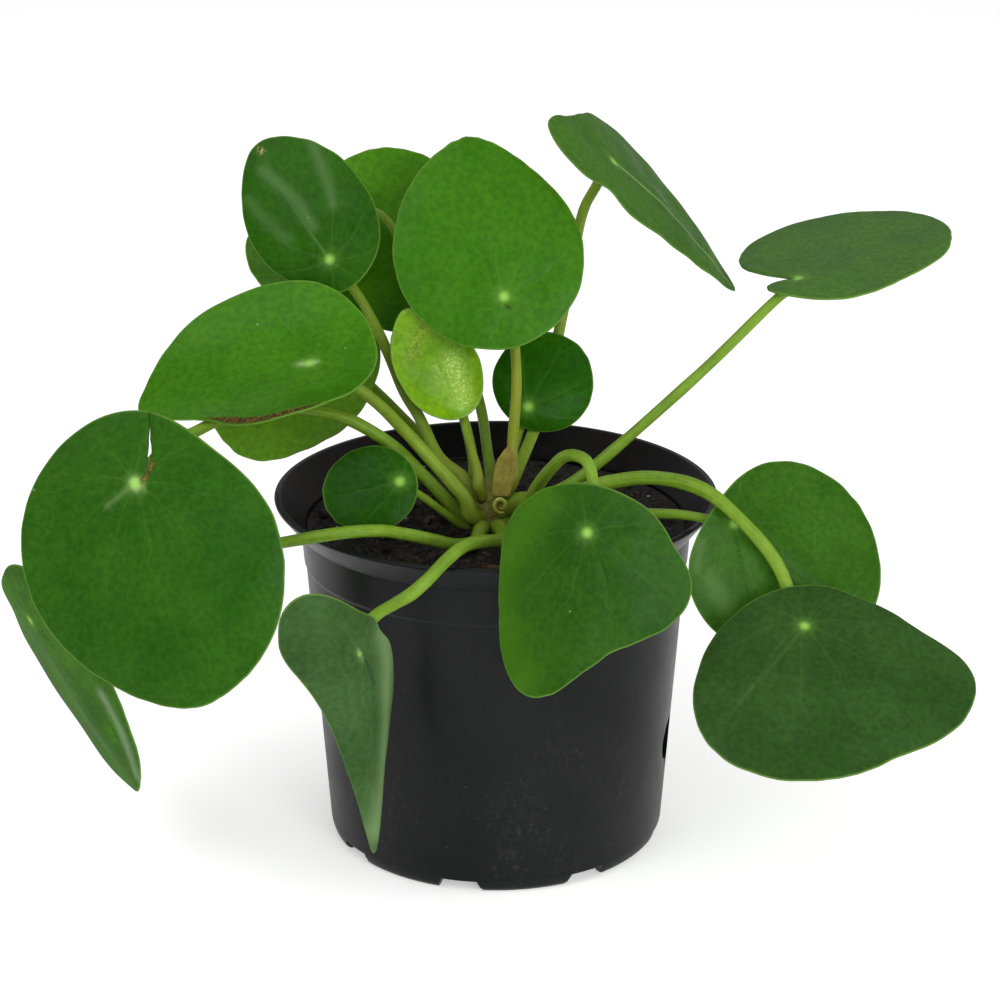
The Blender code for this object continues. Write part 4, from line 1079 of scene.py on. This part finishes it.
def soilHeight(x, y):
    # a low heap towards the back with seeded lumps, as the packed soil has
    edge = potShape["bodyTop"] - potShape["wall"]
    inside = np.clip(1 - (x**2 + y**2) / edge**2, 0, 1)
    heap = soilShape["heap"] * inside * (0.35 + 0.65 * y / edge)
    draw = np.random.RandomState(soilShape["seed"])
    lumps = 0.0
    for wave in (0.16, 0.27, 0.41, 0.63):
        bearing, phase = draw.uniform(0, turn, 2)
        lumps = lumps + np.sin(wave * (x * math.cos(bearing) + y * math.sin(bearing)) + phase)
    return soilShape["level"] + heap + soilShape["lump"] * lumps * np.sqrt(inside)


def crumbled(x, y):
    # fine crumbs over the soil: ripples whose crests are folded up into small heads
    coarse = np.abs(ripple(x, y, 11, 9.0, 3.5, 12))
    fine = np.abs(ripple(x, y, 12, 3.4, 1.5, 14))
    return 0.75 * (1 - coarse) + 0.42 * (1 - fine) - 0.6


def makeSoil():
    pot, soil = potShape, soilShape
    floorTop = pot["channel"] + pot["floor"] + 0.35
    inset = pot["wall"] + soil["gap"]
    edge = bodyRadius(soil["level"]) + pot["bandStep"] - inset
    rings = edge * np.linspace(0, 1, soil["rings"] + 1) ** 0.9
    profile = [(ring, soil["level"]) for ring in rings]
    profile += [
        (bodyRadius(pot["band"]) - inset, pot["band"]), (bodyRadius(floorTop + 1.8) - inset, floorTop + 1.8),
        (bodyRadius(0) - inset - 1.4, floorTop), (pot["pad"] - pot["floor"] - 0.5, floorTop),
        (pot["pad"] - pot["floor"] - 1.4, pot["floor"] + 0.35), (0, pot["floor"] + 0.35),
    ]

    def heaped(radius, height, angle):
        x, y = radius * np.cos(angle), radius * np.sin(angle)
        fade = np.clip((edge - radius) / 2.5, 0, 1)
        return radius, np.where(height == soil["level"], soilHeight(x, y) + crumbled(x, y) * fade, height)

    angles = np.arange(soil["spokes"]) * turn / soil["spokes"]
    material = soilMaterial()
    return makeRevolved("potting_mix", np.array(profile), angles, ("soil",), material, heaped)


def scatterBits(name):
    # small irregular lumps: an icosphere pulled about by drawn bumps, sized, turned and sunk into the soil
    bits, style = soilBits[name], bitStyle
    bm = bmesh.new()
    bmesh.ops.create_icosphere(bm, subdivisions=1, radius=1.0)
    ball = np.array([tuple(vertex.co) for vertex in bm.verts])
    corners = np.array([[vertex.index for vertex in face.verts] for face in bm.faces])
    bm.free()
    draw = np.random.RandomState(bits["seed"])
    count = bits["count"]
    bearing, out = draw.uniform(0, turn, count), style["reach"] * np.sqrt(draw.uniform(0.0, 1, count))
    x, y = out * np.cos(bearing), out * np.sin(bearing)
    stemX, stemY = stemShape["axis"]
    clear = np.hypot(x - stemX, y - stemY) > style["fromStem"]
    x, y = x[clear], y[clear]
    count = len(x)
    sizes = draw.uniform(*bits["size"], count)[:, None, None]
    bumps = 1 + style["bumps"] * draw.uniform(-1, 1, (count, len(ball)))[..., None]
    long = draw.uniform(*bits["stretch"], count)
    flat = draw.uniform(*style["flat"], count)
    lump = ball * bumps * np.stack([long, np.ones(count), flat], axis=-1)[:, None] * sizes
    yaw = draw.uniform(0, turn, count)[:, None]
    pitch = draw.uniform(-style["pitch"], style["pitch"], count)[:, None]
    tiltX = lump[..., 0] * np.cos(pitch) + lump[..., 2] * np.sin(pitch)
    tiltZ = lump[..., 2] * np.cos(pitch) - lump[..., 0] * np.sin(pitch)
    turnedX = tiltX * np.cos(yaw) - lump[..., 1] * np.sin(yaw)
    turnedY = tiltX * np.sin(yaw) + lump[..., 1] * np.cos(yaw)
    ground = soilHeight(x, y) + crumbled(x, y) + bits["lift"] * sizes[:, 0, 0]
    points = np.stack([turnedX + x[:, None], turnedY + y[:, None], tiltZ + ground[:, None]], axis=-1)
    faces = (corners[None] + np.arange(count)[:, None, None] * len(ball)).reshape(-1, 3)
    return addPiece(name, points.reshape(-1, 3), [faces], (), bitMaterial(bits))


def soilMaterial():
    look = soilLook
    material, tree, shader = newMaterial("pottingMix", look["shine"])
    tone = toneOf(tree, look)
    crumbs = addNode(tree, "TexVoronoi", {"Vector": placeOn(tree), "Scale": 620.0, "Detail": 1.0}).outputs
    tint = addNode(tree, "SeparateColor", {0: crumbs["Color"]}).outputs[1]
    colour = blend(tree, ramp(tree, tint, 0.7, 1.0, 0.0, 0.8), tone["Colour"], look["crumb"])
    colour = blend(tree, ramp(tree, crumbs["Distance"], 0.35, 0.7, 0.0, 0.7), colour, look["crack"])
    rough = ramp(tree, tone["Grain"], 0.3, 0.7, 0.6, 0.95)
    finish(tree, shader, colour, rough, calc(tree, "SUBTRACT", tone["Grain"], crumbs["Distance"]), 0.8, 0.6)
    return material


def bitMaterial(bits):
    material, tree, shader = newMaterial(bits["skin"], bitStyle["shine"])
    tone = toneOf(tree, {**bitStyle, **bits})
    rough = ramp(tree, tone["Grain"], 0.3, 0.7, bits["rough"] - 0.1, bits["rough"] + 0.1)
    finish(tree, shader, tone["Colour"], rough, tone["Grain"], 0.6, 0.2)
    return material


stemLook = dict(
    shine=0.3, patch=260.0, fine=1800.0,
    first=(0.07, 0.065, 0.012), second=(0.14, 0.14, 0.022), bark=(0.05, 0.035, 0.015),
    crown=(0.17, 0.21, 0.03),
)


def makeStem():
    # leaf scars ring the stem: a sawtooth along its height, broken up round it
    stem = stemShape
    angle = np.arange(stem["sides"]) * turn / stem["sides"]
    height, angle = np.meshgrid(np.linspace(stem["low"], stem["top"], stem["rows"]), angle, indexing="ij")
    wander = 0.35 * np.sin(2 * angle + 0.6) + 0.15 * np.sin(5 * angle + height)
    ring = np.mod((height + wander) / stem["scarPitch"], 1.0)
    radius = stemRadius(height) + stem["scar"] * (1 - ring) ** 2 - 0.05
    radius = radius + stem["rugged"] * ripple(angle * 4, height, 21, 7, 1.5)
    radius = radius * np.clip((stem["top"] - height) / 1.4, 0, 1) ** 0.5
    x, y = stem["axis"]
    grid = np.stack([x + radius * np.cos(angle), y + radius * np.sin(angle), height], axis=-1)
    poles = [(x, y, stem["low"]), (x, y, stem["top"])]
    return addClosed("old_stem", grid[:-1], poles, ("main_stem",), stemMaterial())


def stemMaterial():
    look = stemLook
    material, tree, shader = newMaterial("stemSkin", look["shine"])
    tone = toneOf(tree, look)
    place = placeOn(tree)
    height = addNode(tree, "SeparateXYZ", {0: place}).outputs["Z"]
    bark = noise(tree, place, 420.0, 4.0)
    colour = blend(tree, ramp(tree, bark, 0.5, 0.7, 0.0, 0.7), tone["Colour"], look["bark"])
    colour = blend(tree, ramp(tree, height, 0.084, 0.094, 0.0, 0.5), colour, look["crown"])
    finish(tree, shader, colour, ramp(tree, bark, 0.3, 0.7, 0.55, 0.8), bark, 0.7, 0.4)
    return material


stipuleShape = dict(
    foot=(1.2, -13.3, 91.6), height=13.0, width=5.6, hollow=0.6, sag=0.8, lean=1.9, rows=44, columns=22,
    thickness=0.3, rib=0.07, crumple=0.15, fray=0.05,
)
stipuleLook = dict(
    shine=0.3, patch=330.0, fine=2500.0,
    first=(0.18, 0.15, 0.02), second=(0.25, 0.22, 0.035), fibre=(0.2, 0.12, 0.02),
    tip=(0.2, 0.1, 0.02),
)


def makeStipule():
    # a pointed papery scale: its half width swells with up x (1 - up) and closes as up to the sixth power;
    # it is hollow towards the stem, with ribs along it and a frayed edge
    shape = stipuleShape
    steps = np.linspace(0, 1, shape["rows"]), np.linspace(-1, 1, shape["columns"])
    up, across = np.meshgrid(*steps, indexing="ij")
    belly = up * (1 - up)
    halfWidth = shape["width"] / 2 * (0.75 + 0.6 * belly + 0.1 * up) * (1 - 0.93 * up**6)
    frayed = 1 + shape["fray"] * np.sin(up * 43) * np.abs(across) ** 4 * up
    footX, footY, footZ = shape["foot"]
    ribs = shape["rib"] * np.cos(across * 14) + shape["crumple"] * ripple(across * 3, up * 9, 31, 6, 2)
    x = footX + across * halfWidth * frayed * 0.98 + shape["lean"] * up
    y = footY + shape["hollow"] * across**2 * (1 - up) + ribs
    z = footZ + (shape["height"] - 0.3) * up + 0.1 - shape["sag"] * across**2 * belly
    points = np.stack([x, y, z], axis=-1).reshape(-1, 3)
    faces = [gridFaces(shape["rows"], shape["columns"], False)]
    piece = addPiece("dry_stipule", points, faces, ("stipule",), stipuleMaterial())
    addMask(piece, "up", up.ravel())
    thicken = piece.modifiers.new("thickness", "SOLIDIFY")
    thicken.thickness = shape["thickness"] * mm
    thicken.offset = 0.0
    return piece


def stipuleMaterial():
    look = stipuleLook
    material, tree, shader = newMaterial("stipulePaper", look["shine"])
    tone = toneOf(tree, look)
    long = addNode(tree, "Mapping", {"Vector": placeOn(tree), "Scale": (1.0, 1.0, 0.08)}).outputs[0]
    fibre = noise(tree, long, 2600.0)
    colour = blend(tree, ramp(tree, fibre, 0.45, 0.65, 0.0, 0.3), tone["Colour"], look["fibre"])
    colour = blend(tree, ramp(tree, maskOf(tree, "up"), 0.85, 1.0, 0.0, 0.4), colour, look["tip"])
    finish(tree, shader, colour, ramp(tree, fibre, 0.3, 0.7, 0.5, 0.75), fibre, 0.5, 0.15)
    return material


budShape = dict(
    place=(1.1, -15.75, 90.5), turns=1.7, start=0.8, innerRadius=0.5, growth=1.15, tall=1.15, forward=0.5,
    drift=0.9, thick=0.52, pinch=0.75, steps=100, sides=14,
)
budLook = dict(
    shine=0.5, patch=500.0, fine=2500.0,
    first=(0.20, 0.24, 0.025), second=(0.32, 0.34, 0.05), inside=(0.11, 0.06, 0.012),
)


def makeBud():
    # a young leaf still rolled up: a strip wound into an evenly widening spiral, pinched at its ends
    bud = budShape
    t = np.linspace(0, 1, bud["steps"])
    radius = bud["innerRadius"] + bud["growth"] * t
    angle = turn * bud["turns"] * t + bud["start"]
    depth = bud["forward"] - bud["drift"] * t
    spiral = np.stack([radius * np.cos(angle), depth, radius * np.sin(angle) * bud["tall"]], axis=-1)
    thick = bud["thick"] * (1 - bud["pinch"] * np.abs(2 * t - 1) ** 5)
    route = np.array(bud["place"]) + spiral
    piece = makeTube("rolled_bud", route, thick, bud["sides"], "bud_green", ("bud",), budMaterial())
    addMask(piece, "run", np.append(np.repeat(t, bud["sides"]), (0, 1)))
    return piece


def budMaterial():
    look = budLook
    material, tree, shader = newMaterial("budSkin", look["shine"])
    tone = toneOf(tree, look)
    inside = ramp(tree, maskOf(tree, "run"), 0.3, 0.6, 0.9, 0.0)
    colour = blend(tree, inside, tone["Colour"], look["inside"])
    finish(tree, shader, colour, ramp(tree, tone["Grain"], 0.3, 0.7, 0.3, 0.45), tone["Grain"], 0.4, 0.1)
    return material


# everything is made here

makePot()
print("pot made")
makeSoil()
for bitsName in soilBits:
    scatterBits(bitsName)
print("soil made")
makeStem()
makeStipule()
makeBud()
print("stem, scale and bud made")
stalkSkin = stalkMaterial()
for leafName in leafShapes:
    makeStalk(leafName, stalkSkin)
print("stalks made")
for leafName in leafShapes:
    makeBlade(leafName)
print("leaves made")


studio = dict(floorSize=12000.0, floor=(0.84, 0.84, 0.84), floorGlow=0.4, low=0.26, high=0.7)
# each softbox: where it stands, the point it faces, its width and height, and its power
softboxes = {
    "key": ((-550, -650, 950), (0, 0, 90), (600, 600), 5),
    "front": ((450, -1250, 520), (0, 0, 90), (800, 600), 10),
    "side": ((950, -150, 330), (0, 0, 60), (350, 700), 2.5),
    "back": ((-150, 900, 800), (0, 0, 100), (900, 400), 1.0),
}
cameraPlace = dict(target=(1.0, 0.0, 86.0), distance=763.0, elevation=20.0, lens=112.5, sensor=36.0)


def makeFloor():
    half = studio["floorSize"] / 2 * mm
    mesh = bpy.data.meshes.new("floor")
    corners = [(-half, -half, 0), (half, -half, 0), (half, half, 0), (-half, half, 0)]
    mesh.from_pydata(corners, [], [(0, 1, 2, 3)])
    mesh.materials.append(newMaterial("paleFloor", 0.1, {
        "Base Color": (*studio["floor"], 1.0), "Roughness": 0.9,
        "Emission Color": (1, 1, 1, 1), "Emission Strength": studio["floorGlow"],
    })[0])
    addObject("floor", mesh)


def addSoftbox(name, place, aim, size, power):
    light = bpy.data.lights.new(name, "AREA")
    light.shape = "RECTANGLE"
    light.size, light.size_y = (value * mm for value in size)
    light.energy = power
    box = addObject(name, light)
    box.location = Vector(place) * mm
    box.rotation_euler = (Vector(aim) - Vector(place)).to_track_quat("-Z", "Y").to_euler()


def addCamera():
    target = np.array(cameraPlace["target"])
    rise = math.radians(cameraPlace["elevation"])
    place = target + cameraPlace["distance"] * np.array([0, -math.cos(rise), math.sin(rise)])
    camera = bpy.data.cameras.new("camera")
    camera.lens, camera.sensor_width = cameraPlace["lens"], cameraPlace["sensor"]
    camera.clip_start = 0.01
    holder = addObject("camera", camera)
    holder.location = place * mm
    holder.rotation_euler = Vector(target - place).to_track_quat("-Z", "Y").to_euler()
    bpy.context.scene.camera = holder


def addWorld():
    # a soft dome, bright overhead and dim near the horizon, which shows plain white behind the floor
    world = bpy.data.worlds.new("studio")
    world.use_nodes = True
    tree = world.node_tree
    upwards = addNode(tree, "SeparateXYZ", {0: addNode(tree, "TexCoord").outputs["Generated"]}).outputs["Z"]
    inputs = {0: upwards, 1: 0.0, 2: 1.0, 3: studio["low"], 4: studio["high"]}
    dome = addNode(tree, "MapRange", inputs).outputs[0]
    shown = addNode(tree, "LightPath").outputs["Is Camera Ray"]
    tree.links.new(calc(tree, "MAXIMUM", dome, shown), tree.nodes["Background"].inputs["Strength"])
    tree.nodes["Background"].inputs["Color"].default_value = (1, 1, 1, 1)
    bpy.context.scene.world = world
    bpy.context.scene.view_settings.view_transform = "Standard"


makeFloor()
for boxName, settings in softboxes.items():
    addSoftbox(boxName, *settings)
addCamera()
addWorld()
print("floor, light and camera made")
